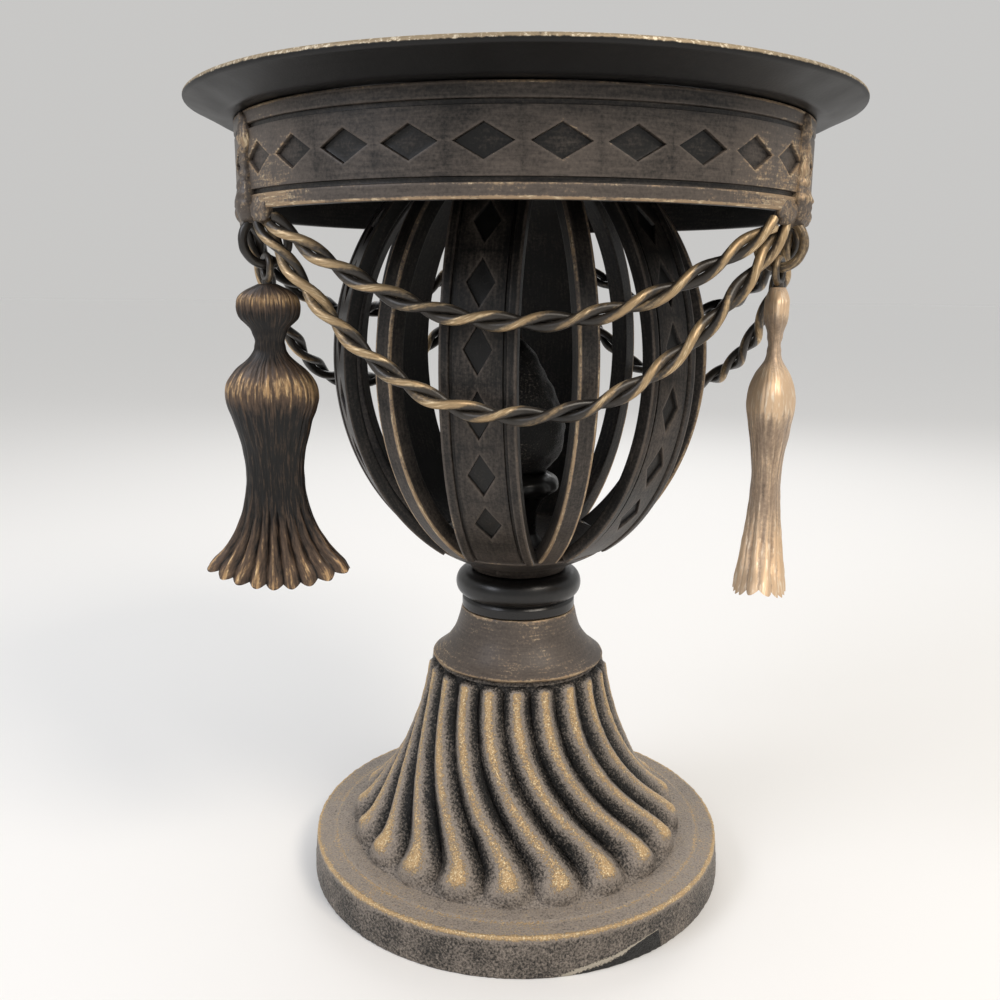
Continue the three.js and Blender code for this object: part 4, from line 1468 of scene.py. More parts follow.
@dataclass
class Finial:
    """The rough cast bud inside the globe, on its beaded stem."""

    radius: float = 12.9
    neck: float = 7.7
    outline: tuple[tuple[float, float], ...] = (
        (0.9, 0.14), (1.0, 0.31), (0.84, 0.53), (0.57, 0.73), (0.24, 0.92), (0.0, 1.0),
    )
    stem: float = 5.2
    flange: float = 2.2
    bulge: float = 3.8
    bore: float = 3.3
    bore_depth: float = 18.3
    rows: int = 40
    bead_rows: int = 22
    sides: int = 64
    bud_wear: float = -0.5
    stem_wear: float = 0.15

    def build(self, cast: Material, gloss: Material) -> None:
        """Builds the bud and its stem.

        Args:
            cast: The bud's finish.
            gloss: The stem's finish.
        """
        low, high = span("finial")
        height = high[2] - low[2]
        table = [(0.0, self.neck)] + [(up * height, out * self.radius) for out, up in self.outline]
        line = smooth_rows(np.array(table), self.rows)
        side = np.stack([np.maximum(line[:, 1], ON_AXIS), low[2] + line[:, 0]], axis=1)
        deep = low[2] + self.bore_depth
        inner = np.array([[ON_AXIS, deep], [self.bore, deep], [self.bore, low[2]]])
        points = spun(np.concatenate([inner, side]), self.sides, ends_meet=False)
        rough = roughened(points, 3.4, 0.5)
        rough[:4] = points[:4]
        rough[-3:] = points[-3:]
        rough[..., 2] = np.minimum(rough[..., 2], high[2])
        shell = Shell()
        shell.barrel(rough, self.bud_wear)
        shell.build("bud", cast, "cast_black", ["finial"], crease=60)
        low, high = span("finial_bead")
        turn = np.radians(np.linspace(-70, 90, self.bead_rows))
        middle = high[2] - self.bulge
        bead = np.stack([
            self.stem + (high[1] - self.stem) * np.cos(turn),
            middle + self.bulge * np.sin(turn),
        ], axis=1)
        foot = rounded([
            (self.bore, low[2], 0),
            (self.stem + self.flange, low[2], 0.3),
            (self.stem + self.flange * 0.7, low[2] + 2.2, 1.5),
            (self.stem, low[2] + 2 * self.flange, 1.5),
            (self.stem, middle - 2 * self.bulge, 0),
        ])[:, :2]
        profile = np.concatenate([foot, bead, [[self.bore, high[2]]]])
        shell = turned_piece(profile, self.sides, (4.0, 0.35), self.stem_wear)
        shell.build("bud_stem", gloss, "cast_black", ["finial_bead"], crease=60)


@dataclass
class Saucer:
    """The sheet plate with its flared brim and rolled lip."""

    thickness: float = 1.4
    brim: float = 9.0
    lip: float = 1.0
    hole: float = 2.3
    sink: float = 4.5
    sides: int = 288
    wave: float = 0.25
    lip_reach: float = 1.9
    floor_wear: float = 0.08
    back_wear: float = -0.8
    lip_wear: float = 1.1
    lip_at: tuple[float, float] = (-30, 46)
    floor_rows: int = 16
    lip_rows: int = 16

    def build(self, enamel: Material) -> None:
        """Builds the plate.

        Args:
            enamel: Its finish.
        """
        low, high = span("plate")
        radius = high[1]
        floor = radius - self.brim
        under, top = low[2], low[2] + self.thickness
        middle = high[2] - self.lip
        rim = [
            (radius - self.lip + self.lip * math.cos(t), middle + self.lip * math.sin(t), 0)
            for t in np.radians(np.linspace(-75, 150, self.lip_rows))
        ]
        steps = np.linspace(12, floor - 4, self.floor_rows)
        shy = [radius - 4.5, radius - 3.2, radius - 2.4]
        profile = rounded([
            (self.hole, under, 0),
            *[(r, under, 0) for r in steps],
            (floor + 0.4, under, 3.0),
            *[(r, mixed(under, rim[0][1], (r - floor) / (rim[0][0] - floor)), 0) for r in shy],
            *rim,
            *[(r, mixed(top, rim[-1][1], (r - floor) / (rim[-1][0] - floor)), 0)
              for r in shy[::-1]],
            (floor - 0.6, top, 3.0),
            *[(r, top, 0) for r in steps[::-1]],
            (self.sink, top, 0.15),
            (self.hole, under + 0.1, 0),
        ])
        reach, height = profile[:, 0], profile[:, 1]
        turn = np.degrees(np.arctan2(height - middle, reach - (radius - self.lip)))
        on_lip = reach > radius - self.lip_reach
        order = np.arange(len(profile))
        wear = np.where(order > order[on_lip].max(), self.floor_wear, self.back_wear)
        lip_wear = mixed(self.back_wear, self.lip_wear, ramp(turn, *self.lip_at))
        wear = np.where(on_lip, lip_wear, wear)
        points = spun(profile[:, :2], self.sides)
        azimuth = circle(self.sides)
        wave = np.sin(3 * azimuth + 0.7) + 0.6 * np.sin(7 * azimuth)
        droop = self.wave * (wave - 1.6) / 2
        share = ramp(np.append(reach, reach[0]), floor, self.brim)
        points[..., 2] += share[:, None] * droop
        shell = Shell()
        shell.grid(points, np.append(wear, wear[0])[:, None], wrap=True)
        shell.build("saucer", enamel, "rubbed_black", ["plate"], crease=50)


def tube(line: Array, radius: Array, sides: int, up: Array) -> Array:
    """Gives rings of points round a line.

    Args:
        line: The line's points.
        radius: The tube's radius at each.
        sides: Points in a ring.
        up: At each point, a direction that the first point of the ring leans to.

    Returns:
        Rows of points, one row for each point of the line.
    """
    way = unit(np.gradient(line, axis=0))
    out = unit(up - way * np.sum(up * way, axis=1)[:, None])
    side = np.cross(way, out)
    turn = circle(sides)
    ring = np.cos(turn)[None, :, None] * out[:, None] + np.sin(turn)[None, :, None] * side[:, None]
    return line[:, None] + np.asarray(radius)[:, None, None] * ring


@dataclass
class Hardware:
    """The weld beads over the band's joints, the hooks below them and the tassels' eyes."""

    band_radius: float = 76.0
    hook_radius: float = 72.0
    hook_wire: float = 2.3
    hook_bend: float = 5.6
    hook_sweep_deg: float = 300.0
    eye_wire: float = 1.8
    eye_hole: float = 2.0
    shank: float = 1.1
    hook_wear: tuple[float, float, float] = (0.0, 0.3, 0.4)
    hook_more_wear: tuple[float, float, float] = (-0.1, 0.45, 0.1)
    hook_ends: tuple[float, float] = (0.0, 0.6)
    hook_rows: int = 72
    hook_sides: int = 20
    eye_wear: tuple[float, float] = (0.25, 0.3)
    shank_wear: float = 0.4
    eye_rows: int = 56
    eye_sides: int = 16
    weld_rows: int = 56
    weld_sides: int = 24
    weld_below: float = 3.0
    weld_step: float = 2.4
    weld_step_at: tuple[float, float] = (0.0, 0.16)
    weld_wander: float = 1.3
    weld_lumps: float = 0.9
    weld_squash: float = 0.7
    weld_wear: tuple[float, float] = (0.62, 0.5)
    weld_radii: tuple[tuple[float, float], ...] = (
        (0, 2), (0.1, 3.9), (0.22, 3.9), (0.4, 2.5), (0.6, 2), (0.8, 2.5), (1, 2),
    )
    blob_half: tuple[float, float, float] = (6.2, 2.0, 3.0)
    blob_rows: int = 18
    blob_sides: int = 36
    blob_wear: float = 0.6
    weld_ends: tuple[float, float] = (0.3, 0.3)

    def welds(self, satin: Material) -> None:
        """Builds the weld beads: lumpy runs of metal, thicker where they hold the hook.

        Args:
            satin: Their finish.
        """
        low, high = span("band_segment_1")
        for i, azimuth in enumerate(JOINT_AZIMUTHS):
            t = np.linspace(0, 1, self.weld_rows)
            height = mixed(low[2] - self.weld_below, high[2] - 0.3, t)
            seed = 11.0 * (i + 1)
            wander = np.array([noise.noise(Vector((seed, h / 5, 0))) for h in height])
            lumps = np.array([noise.noise(Vector((0, h / 2.1, seed))) for h in height])
            depth = -self.band_radius + self.weld_step * (1 - ramp(t, *self.weld_step_at))
            line = np.stack([self.weld_wander * wander, depth, height], axis=1)
            radius = np.interp(t, *np.array(self.weld_radii).T) + self.weld_lumps * lumps
            radius *= np.sqrt(np.clip(1 - (2 * t - 1) ** 10, 0.02, 1))
            out = np.tile([0.0, -1.0, 0.0], (self.weld_rows, 1))
            ring = tube(line, radius, self.weld_sides, out)
            ring[..., 1] = mixed(depth[:, None], ring[..., 1], self.weld_squash)
            ring = roughened(ring, 1.6, 0.5, seed)
            ring[..., 2] = np.clip(ring[..., 2], low[2] - 3.4, high[2])
            shell = Shell()
            even, on_lumps = self.weld_wear
            wear = even + on_lumps * lumps[:, None]
            shell.barrel(turned_about(ring, azimuth), wear, self.weld_ends)
            for k, side in enumerate((-1, 1)):
                blob = self.blob(low[2], side, seed + 4.0 * k)
                shell.barrel(turned_about(blob, azimuth), self.blob_wear, self.weld_ends)
            nodes = [f"joint_weld_{i + 1}"]
            shell.build(f"weld_run_{i + 1}", satin, "rubbed_black", nodes, crease=80)

    def blob(self, band_bottom: float, side: int, seed: float) -> Array:
        """Gives rings of points of the weld over the swags' ends, beside a joint.

        Args:
            band_bottom: Height of the band's lower edge.
            side: The side of the joint, -1 or 1.
            seed: Picks the lumps.

        Returns:
            Rows of points about the front of the stand.
        """
        half = np.array(self.blob_half)
        middle = np.array([side * 6.0, -self.band_radius + 1.4, band_bottom - 0.2])
        up = np.radians(np.linspace(-84, 84, self.blob_rows))[:, None]
        around = circle(self.blob_sides)[None, :]
        ball = np.stack(np.broadcast_arrays(
            np.cos(up) * np.cos(around), np.cos(up) * np.sin(around), np.sin(up)
        ), axis=-1)
        return roughened(middle + half * ball, 2.2, 0.8, seed)

    def hooks(self, wire: Material) -> None:
        """Builds the hooks: wire bent nearly into a ring, its cut end thinned and capped.

        Args:
            wire: Their finish.
        """
        low = span("hook_1")[0]
        centre = low[2] + self.hook_wire / 2 + self.hook_bend
        bend = np.radians(np.linspace(0, self.hook_sweep_deg, self.hook_rows))
        line = np.stack([
            np.zeros(self.hook_rows),
            -self.hook_radius - self.hook_bend * np.sin(bend),
            centre + self.hook_bend * np.cos(bend),
        ], axis=1)
        share = np.linspace(0, 1, self.hook_rows)
        radius = self.hook_wire / 2 * np.sqrt(np.clip(1 - share**60, 0.05, 1))
        up = np.tile([1.0, 0.0, 0.0], (self.hook_rows, 1))
        ring = tube(line, radius, self.hook_sides, up)
        turn = circle(self.hook_sides)
        even, beside, at_tip = self.hook_wear
        wear = even + beside * np.clip(np.cos(turn), 0, 1)[None, :] + at_tip * share[:, None] ** 4
        for i, azimuth in enumerate(JOINT_AZIMUTHS):
            rough = roughened(ring, 2.2, 0.12, 3.0 * i)
            rough[..., 2] = np.clip(rough[..., 2], low[2], None)
            shell = Shell()
            points = turned_about(rough, azimuth)
            shell.barrel(points, wear + self.hook_more_wear[i], self.hook_ends)
            shell.build(f"hook_wire_{i + 1}", wire, "wire_bronze", [f"hook_{i + 1}"])

    def eyes(self, wire: Material) -> None:
        """Builds the eyes: a wire ring with a short shank down into each tassel.

        Args:
            wire: Their finish.
        """
        low, high = span("tassel_eye_1")
        ring_radius = self.eye_hole + self.eye_wire / 2
        centre = high[2] - ring_radius - self.eye_wire / 2
        around = circle(self.eye_rows)
        out = np.stack([np.sin(around), np.zeros(self.eye_rows), np.cos(around)], axis=1)
        middle = np.array([0, -self.hook_radius, centre])
        turn = circle(self.eye_sides)
        side = np.array([0.0, 1.0, 0.0])
        ring = middle + out[:, None] * (
            ring_radius + self.eye_wire / 2 * np.cos(turn)[None, :, None]
        ) + side * (self.eye_wire / 2 * np.sin(turn))[None, :, None]
        ring = np.concatenate([ring, ring[:1]])
        even, outside = self.eye_wear
        wear = even + outside * np.cos(turn)[None, :]
        bottom = low[2]
        heights = np.array([bottom, bottom + 0.2, bottom + 0.4, centre - ring_radius])
        shank = np.array([[0.6], [self.shank - 0.1], [self.shank], [self.shank + 0.25]])
        post = polar(shank, turn[None, :], heights[:, None]) + [0, -self.hook_radius, 0]
        for i, azimuth in enumerate(JOINT_AZIMUTHS):
            shell = Shell()
            shell.grid(turned_about(ring, azimuth), wear, wrap=True)
            shell.barrel(turned_about(post, azimuth), self.shank_wear)
            node, body = f"tassel_eye_{i + 1}", f"eye_{i + 1}"
            shell.build(f"eye_ring_{i + 1}", wire, "tassel_bronze", [node], body)


@dataclass
class Swag:
    """One tier of swags, each a pair of wires twisted together."""

    name: str
    sag: float
    end_deg: float
    wire: float = 2.4
    pitch: float = 23.0
    middle_radius: float = 56.0
    end_radius: float = 74.75
    fall: float = 2.4
    sides: int = 14
    steps_per_turn: int = 30
    strand_gap: float = 0.06
    band_gap: float = 0.3
    # The wear: even, on the strands' outer faces, painted light on the faces that look out and up,
    # at the ends, and in stretches.
    wear: tuple[float, float, float, float, float] = (-0.22, 0.7, 0.34, 0.3, 0.55)
    worn_stretch: float = 19.0
    end_wear: tuple[float, float] = (0.3, 0.3)

    def build(self, band_bottom: float, wire: Material) -> None:
        """Builds the tier's six wires.

        Args:
            band_bottom: Height of the band's lower edge.
            wire: The wires' finish.
        """
        offset = self.wire / 2 + self.strand_gap / 2
        slope = math.atan(self.sag * self.fall / (self.end_radius * math.radians(self.end_deg)))
        top = band_bottom - self.band_gap - (offset + 0.2 + self.wire / 2) * math.cos(slope)
        side = np.linspace(-1, 1, 2001)
        line = polar(
            mixed(self.middle_radius, self.end_radius, side**2),
            math.radians(self.end_deg) * side,
            top - self.sag * (1 - np.abs(side) ** self.fall),
        )
        run = np.concatenate([[0], np.cumsum(np.linalg.norm(np.diff(line, axis=0), axis=1))])
        half_turns = round(2 * run[-1] / self.pitch)
        rows = int(half_turns * self.steps_per_turn / 2)
        wanted = np.linspace(0, run[-1], rows + 1)
        line = np.stack([np.interp(wanted, run, line[:, k]) for k in range(3)], axis=1)
        way = unit(np.gradient(line, axis=0))
        out = unit(line * [1, 1, 0])
        out = unit(out - way * np.sum(out * way, axis=1)[:, None])
        down = np.cross(way, out)
        for letter, phase in (("a", -math.pi / 2), ("b", math.pi / 2)):
            twist = phase - half_turns * math.pi * np.arange(rows + 1) / rows
            lean = np.cos(twist)[:, None] * out + np.sin(twist)[:, None] * down
            centre = line + offset * lean
            share = np.abs(np.linspace(-1, 1, rows + 1))
            radius = self.wire / 2 * np.sqrt(np.clip(1 - share**900, 0.1, 1))
            ring = tube(centre, radius, self.sides, lean)
            normal = unit(ring - centre[:, None])
            away = np.sum(normal * lean[:, None], axis=2)
            # Painted light: faces that look out and a little up take more paste colour, as if the
            # light from above the front fell on them.
            front = np.sum(normal * (out + 0.25 * np.array([0, 0, 1.0]))[:, None], axis=2)
            even, outside, painted_light_front, at_ends, in_stretches = self.wear
            wear = outside * np.clip(away, 0, 1) ** 1.6 + painted_light_front * np.clip(front, -0.4, 1)
            places = [Vector((r / self.worn_stretch, self.sag, phase)) for r in wanted]
            stretch = np.array([noise.noise(place) for place in places])[:, None]
            wear += at_ends * share[:, None] + even + in_stretches * stretch
            for i in range(JOINTS):
                shell = Shell()
                shell.barrel(turned_about(ring, BAY_AZIMUTHS[i]), wear, self.end_wear)
                node = f"{self.name}_swag_{i + 1}_wire_{letter}"
                shell.build(f"{self.name}_twist_{i + 1}_{letter}", wire, "wire_bronze", [node])


@dataclass
class Tassel:
    """A flat cast tassel: knot, tie, bulb, waist and a fluted skirt with a scalloped end."""

    number: int
    yaw_deg: float
    hook_radius: float = 72.0
    flutes: int = 18
    columns: int = 216
    rows: int = 170
    flute_depth: float = 1.0
    hair: float = 0.2
    end_rise: float = 4.0
    hole: float = 1.4
    hole_depth: float = 5.3
    cords: tuple[float, float] = (12.2, 15.0)
    cord_width: float = 0.7
    cord_rise: float = 0.16
    ball_at: tuple[float, float] = (3.6, 2.6)
    knot_at: tuple[float, float] = (1.5, 2)
    knot_end_at: tuple[float, float] = (8, 2)
    hairs_at: tuple[float, float] = (17, 4)
    waist_at: tuple[float, float] = (36, 14)
    bulb_at: tuple[float, float] = (25.0, 5.2)
    skirt_at: tuple[float, float] = (48, 22)
    wear: tuple[float, float, float, float] = (-0.3, 0.98, 0.95, 0.35)
    inside_wear: float = 0.1
    outline: tuple[tuple[float, float, float], ...] = (
        (0.0, 2.4, 1.8), (1.3, 5.2, 2.4), (2.8, 7.2, 2.8), (4.6, 7.9, 2.9), (6.5, 7.9, 2.85),
        (8.4, 7.2, 2.7), (11.0, 4.7, 1.9), (17.2, 4.8, 2.0), (21.0, 8.9, 4.2), (24.2, 11.2, 5.4),
        (27.5, 11.8, 5.8), (34.5, 9.8, 5.0), (43.0, 7.7, 3.8), (53.0, 7.9, 3.8), (63.0, 10.6, 4.5),
        (69.5, 14.2, 5.2), (73.5, 17.3, 5.8), (76.0, 18.5, 6.0),
    )

    def around(self) -> tuple[Array, Array]:
        """Spaces the columns evenly along the skirt's edge.

        Returns:
            Their angles, and their shares of the way round.
        """
        wide, thick = self.outline[-1][1:]
        fine = np.linspace(0, TURN, 2001)
        run = np.cumsum(np.hypot(wide * np.sin(fine), thick * np.cos(fine)))
        share = np.arange(self.columns) / self.columns
        turn = np.interp(share, (run - run[0]) / (run[-1] - run[0]), fine)
        return turn[None, :], share[None, :]

    def surface(self) -> tuple[Array, Array]:
        """Shapes the skin about the tassel's own axis.

        Returns:
            Its rows of points, and how worn they are.
        """
        line = smooth_rows(np.array(self.outline), self.rows)
        drop, wide, thick = line[:, :1], line[:, 1:2], line[:, 2:3]
        turn, share = self.around()
        skirt = ramp(drop, *self.skirt_at)
        wave = np.abs(np.sin(share * math.pi * self.flutes))
        flute = self.flute_depth * skirt * (wave - 0.5) * 1.25
        hairs = np.array([
            [
                noise.noise(Vector((9 * math.cos(t), 9 * math.sin(t), d / 14 + self.number)))
                + 0.6 * noise.noise(Vector((17 * math.cos(t), 17 * math.sin(t), d / 9)))
                for t in turn[0]
            ]
            for d in drop[:, 0]
        ])
        hairy = ramp(drop, *self.hairs_at) * (1 - 0.5 * ramp(drop, *self.waist_at))
        knot = ramp(drop, *self.knot_at) * (1 - ramp(drop, *self.knot_end_at))
        cords = self.cord_rise * sum(hump(drop, cord, self.cord_width) for cord in self.cords)
        out = flute + self.hair * hairs * (hairy + 0.5 * skirt + knot) + cords
        ending = np.clip((drop - 62) / 14, 0, 1) ** 2
        rise = self.end_rise * np.clip((drop - 47) / 29, 0, 1) ** 2 * np.cos(turn) ** 2
        height = rise - drop - ending * (wave - 0.62) * 1.1
        points = np.stack(np.broadcast_arrays(
            (wide + out) * np.cos(turn), (thick + out) * np.sin(turn), height
        ), axis=-1)
        even, at_bulb, at_ball, on_hairs = self.wear
        wear = even + at_bulb * hump(drop, *self.bulb_at) + at_ball * hump(drop, *self.ball_at)
        wear = wear + on_hairs * hairy * hairs
        wear = wear + skirt * (0.55 * (wave - 0.55) + 0.4) + 0.3 * ending * wave
        return points, wear

    def build(self, bronze: Material) -> None:
        """Builds the tassel on its eye.

        Args:
            bronze: Its finish.
        """
        top = span(f"tassel_{self.number}")[1][2]
        joint = JOINT_AZIMUTHS[self.number - 1]
        points, wear = self.surface()
        sunk = points[-1] * [0.88, 0.78, 1] + [0, 0, 0.9]
        deep = points[-1] * [0.55, 0.45, 0] + [0, 0, points[-1, :, 2].mean() + 1.5]
        turn = self.around()[0][0]
        mouth = polar(np.full(self.columns, self.hole), math.pi / 2 - turn, 0.0)
        mouth[:, 1] *= -1
        bottom = mouth - [0, 0, self.hole_depth]

        def seat(part: Array) -> Array:
            """Puts a part of the tassel where its joint holds it.

            Args:
                part: Points about the tassel's own axis.

            Returns:
                The points in the stand's frame.
            """
            turned = turned_about(part, joint + math.radians(self.yaw_deg))
            at = polar(np.array(self.hook_radius), np.array(joint), np.array(top))
            return turned + at

        shell = Shell()
        skin = seat(roughened(points, 3.0, 0.12, self.number * 7.0))
        shell.grid(skin, wear, wrap=True)
        end = np.stack([skin[-1], seat(sunk), seat(deep)])
        shell.grid(end, self.inside_wear, wrap=True)
        shell.close(end[-1])
        hole = np.stack([skin[0], seat(mouth), seat(bottom)])
        shell.grid(hole, self.inside_wear, wrap=True)
        shell.close(seat(bottom))
        shell.build(
            f"tassel_casting_{self.number}",
            bronze,
            "tassel_bronze",
            [f"tassel_{self.number}"],
            f"hung_{self.number}",
            crease=70,
        )


@dataclass(frozen=True)
class Lamp:
    """A soft square lamp that looks at the stand's middle."""

    name: str
    place: tuple[float, float, float]
    size: float
    power: float
    colour: str
    aim: tuple[float, float, float] = (0.0, 0.0, 0.11)

    def build(self) -> bpy.types.Object:
        """Hangs the lamp, with its place, size and aim in metres.

        Returns:
            The lamp.
        """
        data = bpy.data.lights.new(self.name, "AREA")
        data.shape = "SQUARE"
        data.size = self.size
        data.energy = self.power
        data.color = linear(self.colour)[:3]
        lamp = bpy.data.objects.new(self.name, data)
        lamp.location = self.place
        way = Vector(self.aim) - Vector(self.place)
        lamp.rotation_mode = "QUATERNION"
        lamp.rotation_quaternion = way.to_track_quat("-Z", "Y")
        bpy.context.scene.collection.objects.link(lamp)
        return lamp


@dataclass
class Studio:
    """The pale floor, the plain surroundings, the soft lamps and the camera."""

    floor_half: float = 8.0
    floor_colour: str = "f4f3f1"
    floor_bounce: str = "b4b2ae"
    floor_rough: float = 0.7
    floor_shine: float = 0.2
    room_colour: str = "ffffff"
    room_light: float = 0.64
    camera_place: tuple[float, float, float] = (0.0, -0.2875, 0.175)
    pitch_deg: float = 12.34
    yaw_deg: float = 1.117
    roll_deg: float = 0.378
    lens: float = 36.25
    sensor: float = 36.0
    clip_start: float = 0.01
    lamps: tuple[Lamp, ...] = (
        Lamp("lamp_over_right", (0.45, -0.45, 0.75), 0.3, 3.6, "fff4e6"),
        Lamp("lamp_over_left", (-0.6, -0.35, 0.6), 0.35, 2.2, "f2f5ff"),
        Lamp("lamp_behind", (0.1, 0.7, 0.6), 0.5, 1.5, "ffffff"),
    )

    def toned(self, tree: Tree, unseen: str) -> Socket:
        """Gives the floor's colour to what the camera sees, directly, mirrored or through glass.

        Args:
            tree: The node tree that takes the nodes.
            unseen: The colour with which the surface lights the stand.

        Returns:
            The socket that gives the colour.
        """
        rays = add_node(tree, "ShaderNodeLightPath").outputs
        seen = rays["Is Camera Ray"]
        for kind in ("Is Glossy Ray", "Is Transmission Ray"):
            links = {0: seen, 1: rays[kind]}
            seen = add_node(tree, "ShaderNodeMath", {"operation": "MAXIMUM"}, links).outputs[0]
        tones = {6: linear(unseen), 7: linear(self.floor_colour)}
        settings = {"data_type": "RGBA", **tones}
        return add_node(tree, "ShaderNodeMix", settings, {0: seen}).outputs[2]

    def floor(self) -> None:
        """Lays the floor."""
        half = self.floor_half
        mesh = bpy.data.meshes.new("floor")
        corners = [(-half, -half, 0), (half, -half, 0), (half, half, 0), (-half, half, 0)]
        mesh.from_pydata(corners, [], [(0, 1, 2, 3)])
        paint = bpy.data.materials.new("floor_paint")
        paint.use_nodes = True
        tree = paint.node_tree
        shader = tree.nodes["Principled BSDF"]
        shader.inputs["Roughness"].default_value = self.floor_rough
        shader.inputs["Specular IOR Level"].default_value = self.floor_shine
        tree.links.new(self.toned(tree, self.floor_bounce), shader.inputs["Base Color"])
        mesh.materials.append(paint)
        ground = bpy.data.objects.new("floor", mesh)
        bpy.context.scene.collection.objects.link(ground)

    def surroundings(self) -> None:
        """Lights the room evenly in white, and shows it in the far floor's colour."""
        world = bpy.data.worlds.new("room")
        world.use_nodes = True
        tree = world.node_tree
        tree.nodes.clear()
        strength, tone = {"Strength": self.room_light}, self.toned(tree, self.room_colour)
        glow = add_node(tree, "ShaderNodeBackground", strength, {"Color": tone})
        surface = glow.outputs["Background"]
        add_node(tree, "ShaderNodeOutputWorld", {}, {"Surface": surface})
        bpy.context.scene.world = world

    def camera(self) -> None:
        """Sets the camera where the photograph was taken from."""
        data = bpy.data.cameras.new("camera")
        data.lens = self.lens
        data.sensor_width = self.sensor
        data.clip_start = self.clip_start
        data.dof.use_dof = False
        camera = bpy.data.objects.new("camera", data)
        camera.location = self.camera_place
        pitch, yaw = math.radians(self.pitch_deg), math.radians(self.yaw_deg)
        way = Vector((
            -math.sin(yaw) * math.cos(pitch), math.cos(yaw) * math.cos(pitch), -math.sin(pitch)
        ))
        roll = Quaternion((0, 0, 1), math.radians(self.roll_deg))
        camera.rotation_mode = "QUATERNION"
        camera.rotation_quaternion = way.to_track_quat("-Z", "Y") @ roll
        bpy.context.scene.collection.objects.link(camera)
        bpy.context.scene.camera = camera

    def build(self) -> None:
        """Builds the studio."""
        self.floor()
        self.surroundings()
        for lamp in self.lamps:
            lamp.build()
        self.camera()
        view = bpy.context.scene.view_settings
        view.view_transform = "Standard"


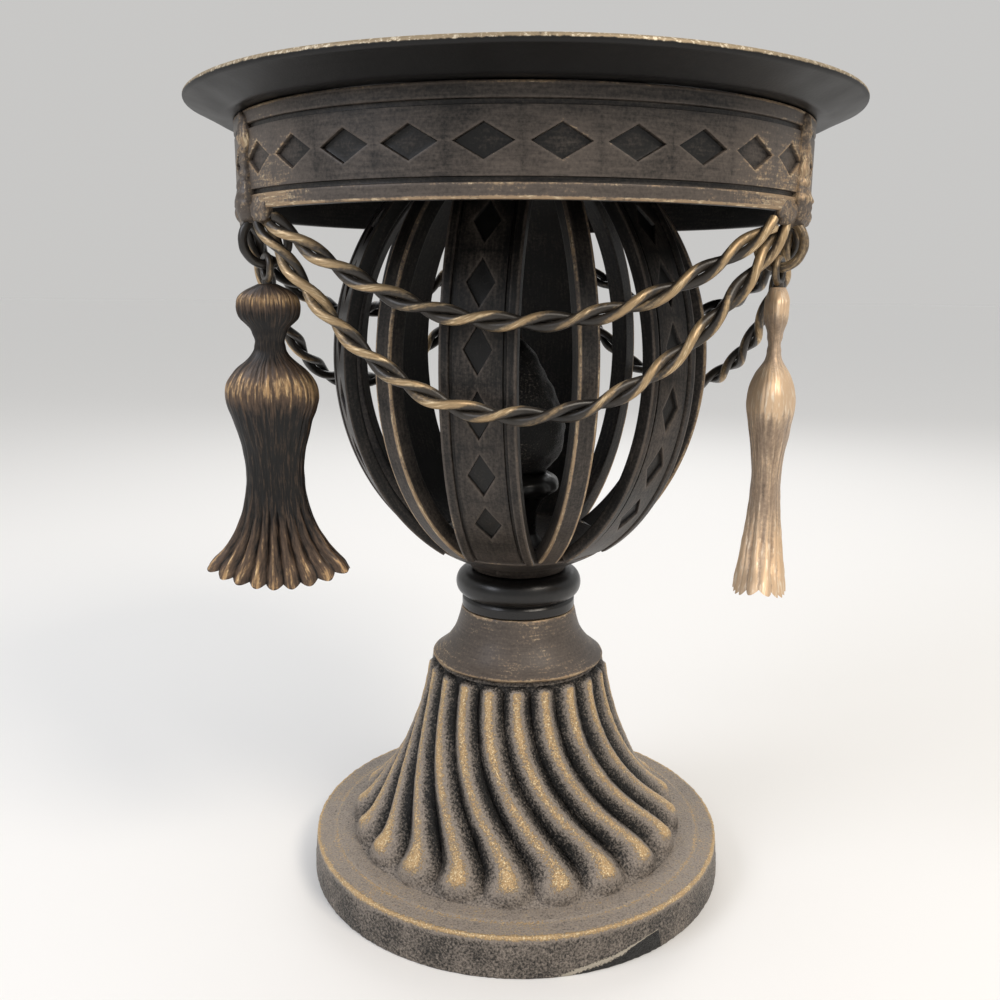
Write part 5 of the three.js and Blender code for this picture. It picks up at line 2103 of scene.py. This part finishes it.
FINISHES = (
    # Cast iron under black lacquer: coarse grit that glitters, gold paste on the lobes' crests,
    # and a pale haze, partly painted sheen, on what faces up.
    RubbedMetal(
        name="cast_iron_rubbed_gold_and_sheen", ground="0a0908", haze="ab9f93", rub="ceac7d", speck="ffeec4",
        hold=0.72, haze_share=0.9, haze_reach=1.2, shares=(1.0, 0.8, 2.0), ground_rough=0.34,
        rub_rough=0.36, shine=0.4, grain_mm=0.55, bump_mm=0.42, speck_mm=0.45, cloud_mm=12.0,
        streak=Grain.CLOUDY, chipped=True,
    ),
    # Smooth steel in satin black, wiped with bronze that stays on edges: dark, brushed, dull.
    RubbedMetal(
        name="satin_black_rubbed_bronze", ground="0c0b0a", haze="6e645c", rub="b39a7d",
        speck="e2cfad", hold=0.74, haze_share=0.75, haze_reach=1.5, shares=(1.1, 0.9, 1.3),
        ground_rough=0.34, rub_rough=0.42, grain_mm=0.7, bump_mm=0.05, speck_mm=0.5,
        cloud_mm=16.0, streak=Grain.ALONG,
    ),
    # The same lacquer left thick and unrubbed: nearly black, and wet-looking.
    RubbedMetal(
        name="gloss_black", ground="090808", haze="1f1b18", rub="6a5844", speck="a08763",
        hold=0.8, haze_share=0.5, ground_rough=0.2, rub_rough=0.4, shine=0.5, grain_mm=2.0,
        bump_mm=0.05, speck_mm=0.8, cloud_mm=8.0, streak=Grain.CLOUDY,
    ),
    # Twisted wire: black in the twist, worn to warm tan where the strands stand out; on the swags
    # the faces that look out and up are painted lighter, as painted light.
    RubbedMetal(
        name="wire_worn_gold_painted_light", ground="0b0a09", haze="4a433b", rub="bfa37c", speck="ecd5ad",
        hold=0.58, haze_share=0.7, most=0.85, shares=(0.7, 1.2, 0.5), ground_rough=0.26,
        rub_rough=0.34, shine=0.5, grain_mm=0.9, bump_mm=0.04, speck_mm=0.6, cloud_mm=30.0,
        streak=Grain.ALONG,
    ),
    # Cast tassels, wiped thickly: gold hairs on the bulb and the skirt over black hollows.
    RubbedMetal(
        name="tassel_rubbed_gold", ground="0c0a09", haze="6b5747", rub="cba67a", speck="f2d3a2",
        hold=0.62, haze_share=0.8, shares=(1.9, 0.6, 0.35), ground_rough=0.34, rub_rough=0.4,
        grain_mm=0.8, bump_mm=0.04, speck_mm=0.34, cloud_mm=16.0, streak=Grain.ALONG,
    ),
    # The same casting with the paste left on nearly everywhere: pale tan with dark hairs.
    RubbedMetal(
        name="tassel_covered_tan", ground="2a221c", haze="b8a089", rub="e8caa7", speck="f7e7d0",
        hold=-0.1, haze_share=0.9, shares=(1.1, 0.6, 0.8), ground_rough=0.36, rub_rough=0.45,
        grain_mm=0.8, bump_mm=0.04, speck_mm=0.6, cloud_mm=18.0, streak=Grain.ALONG,
    ),
    # Sheet steel in satin black, with the lip chipped to ivory and brass.
    RubbedMetal(
        name="plate_black_chipped_lip", ground="0b0a0a", haze="262320", rub="a8977d",
        speck="ded3bd", hold=0.62, haze_share=0.5, ground_rough=0.34, rub_rough=0.5,
        grain_mm=0.9, bump_mm=0.04, speck_mm=0.9, cloud_mm=14.0, streak=Grain.CLOUDY,
    ),
    # Bright zinc on bought fasteners, a little dulled: pale grey and clean.
    RubbedMetal(
        name="zinc_plated_steel", ground="6f7173", haze="808284", rub="a9abac", speck="c4c6c8",
        hold=0.2, haze_share=0.8, ground_rough=0.35, rub_rough=0.35, grain_mm=0.8, bump_mm=0.02,
        speck_mm=0.8, cloud_mm=6.0, streak=Grain.CLOUDY,
    ),
)


def main() -> None:
    """Builds the finishes, the stand from the foot up, and the studio."""
    logging.basicConfig(level=logging.INFO, format="%(message)s")
    noise.seed_set(SEED)
    finishes = [finish.build() for finish in FINISHES]
    cast, satin, gloss, wire, bronze, tan, enamel, zinc = finishes
    CastFoot().build(cast)
    Neck().build(satin, gloss)
    Fasteners().build(zinc)
    Cage().build(satin)
    Finial().build(cast, gloss)
    Saucer().build(enamel)
    Band().build(satin)
    hardware = Hardware()
    hardware.welds(satin)
    hardware.hooks(wire)
    hardware.eyes(wire)
    band_bottom = float(span("band_segment_1")[0][2])
    Swag("upper", sag=22.9, end_deg=51.5).build(band_bottom, wire)
    Swag("lower", sag=44.9, end_deg=57.0).build(band_bottom, wire)
    for number, yaw_deg in enumerate((60.0, 16.0, 0.0), start=1):
        Tassel(number, yaw_deg).build(tan if number == 2 else bronze)
    Studio().build()


if __name__ == "__main__":
    main()
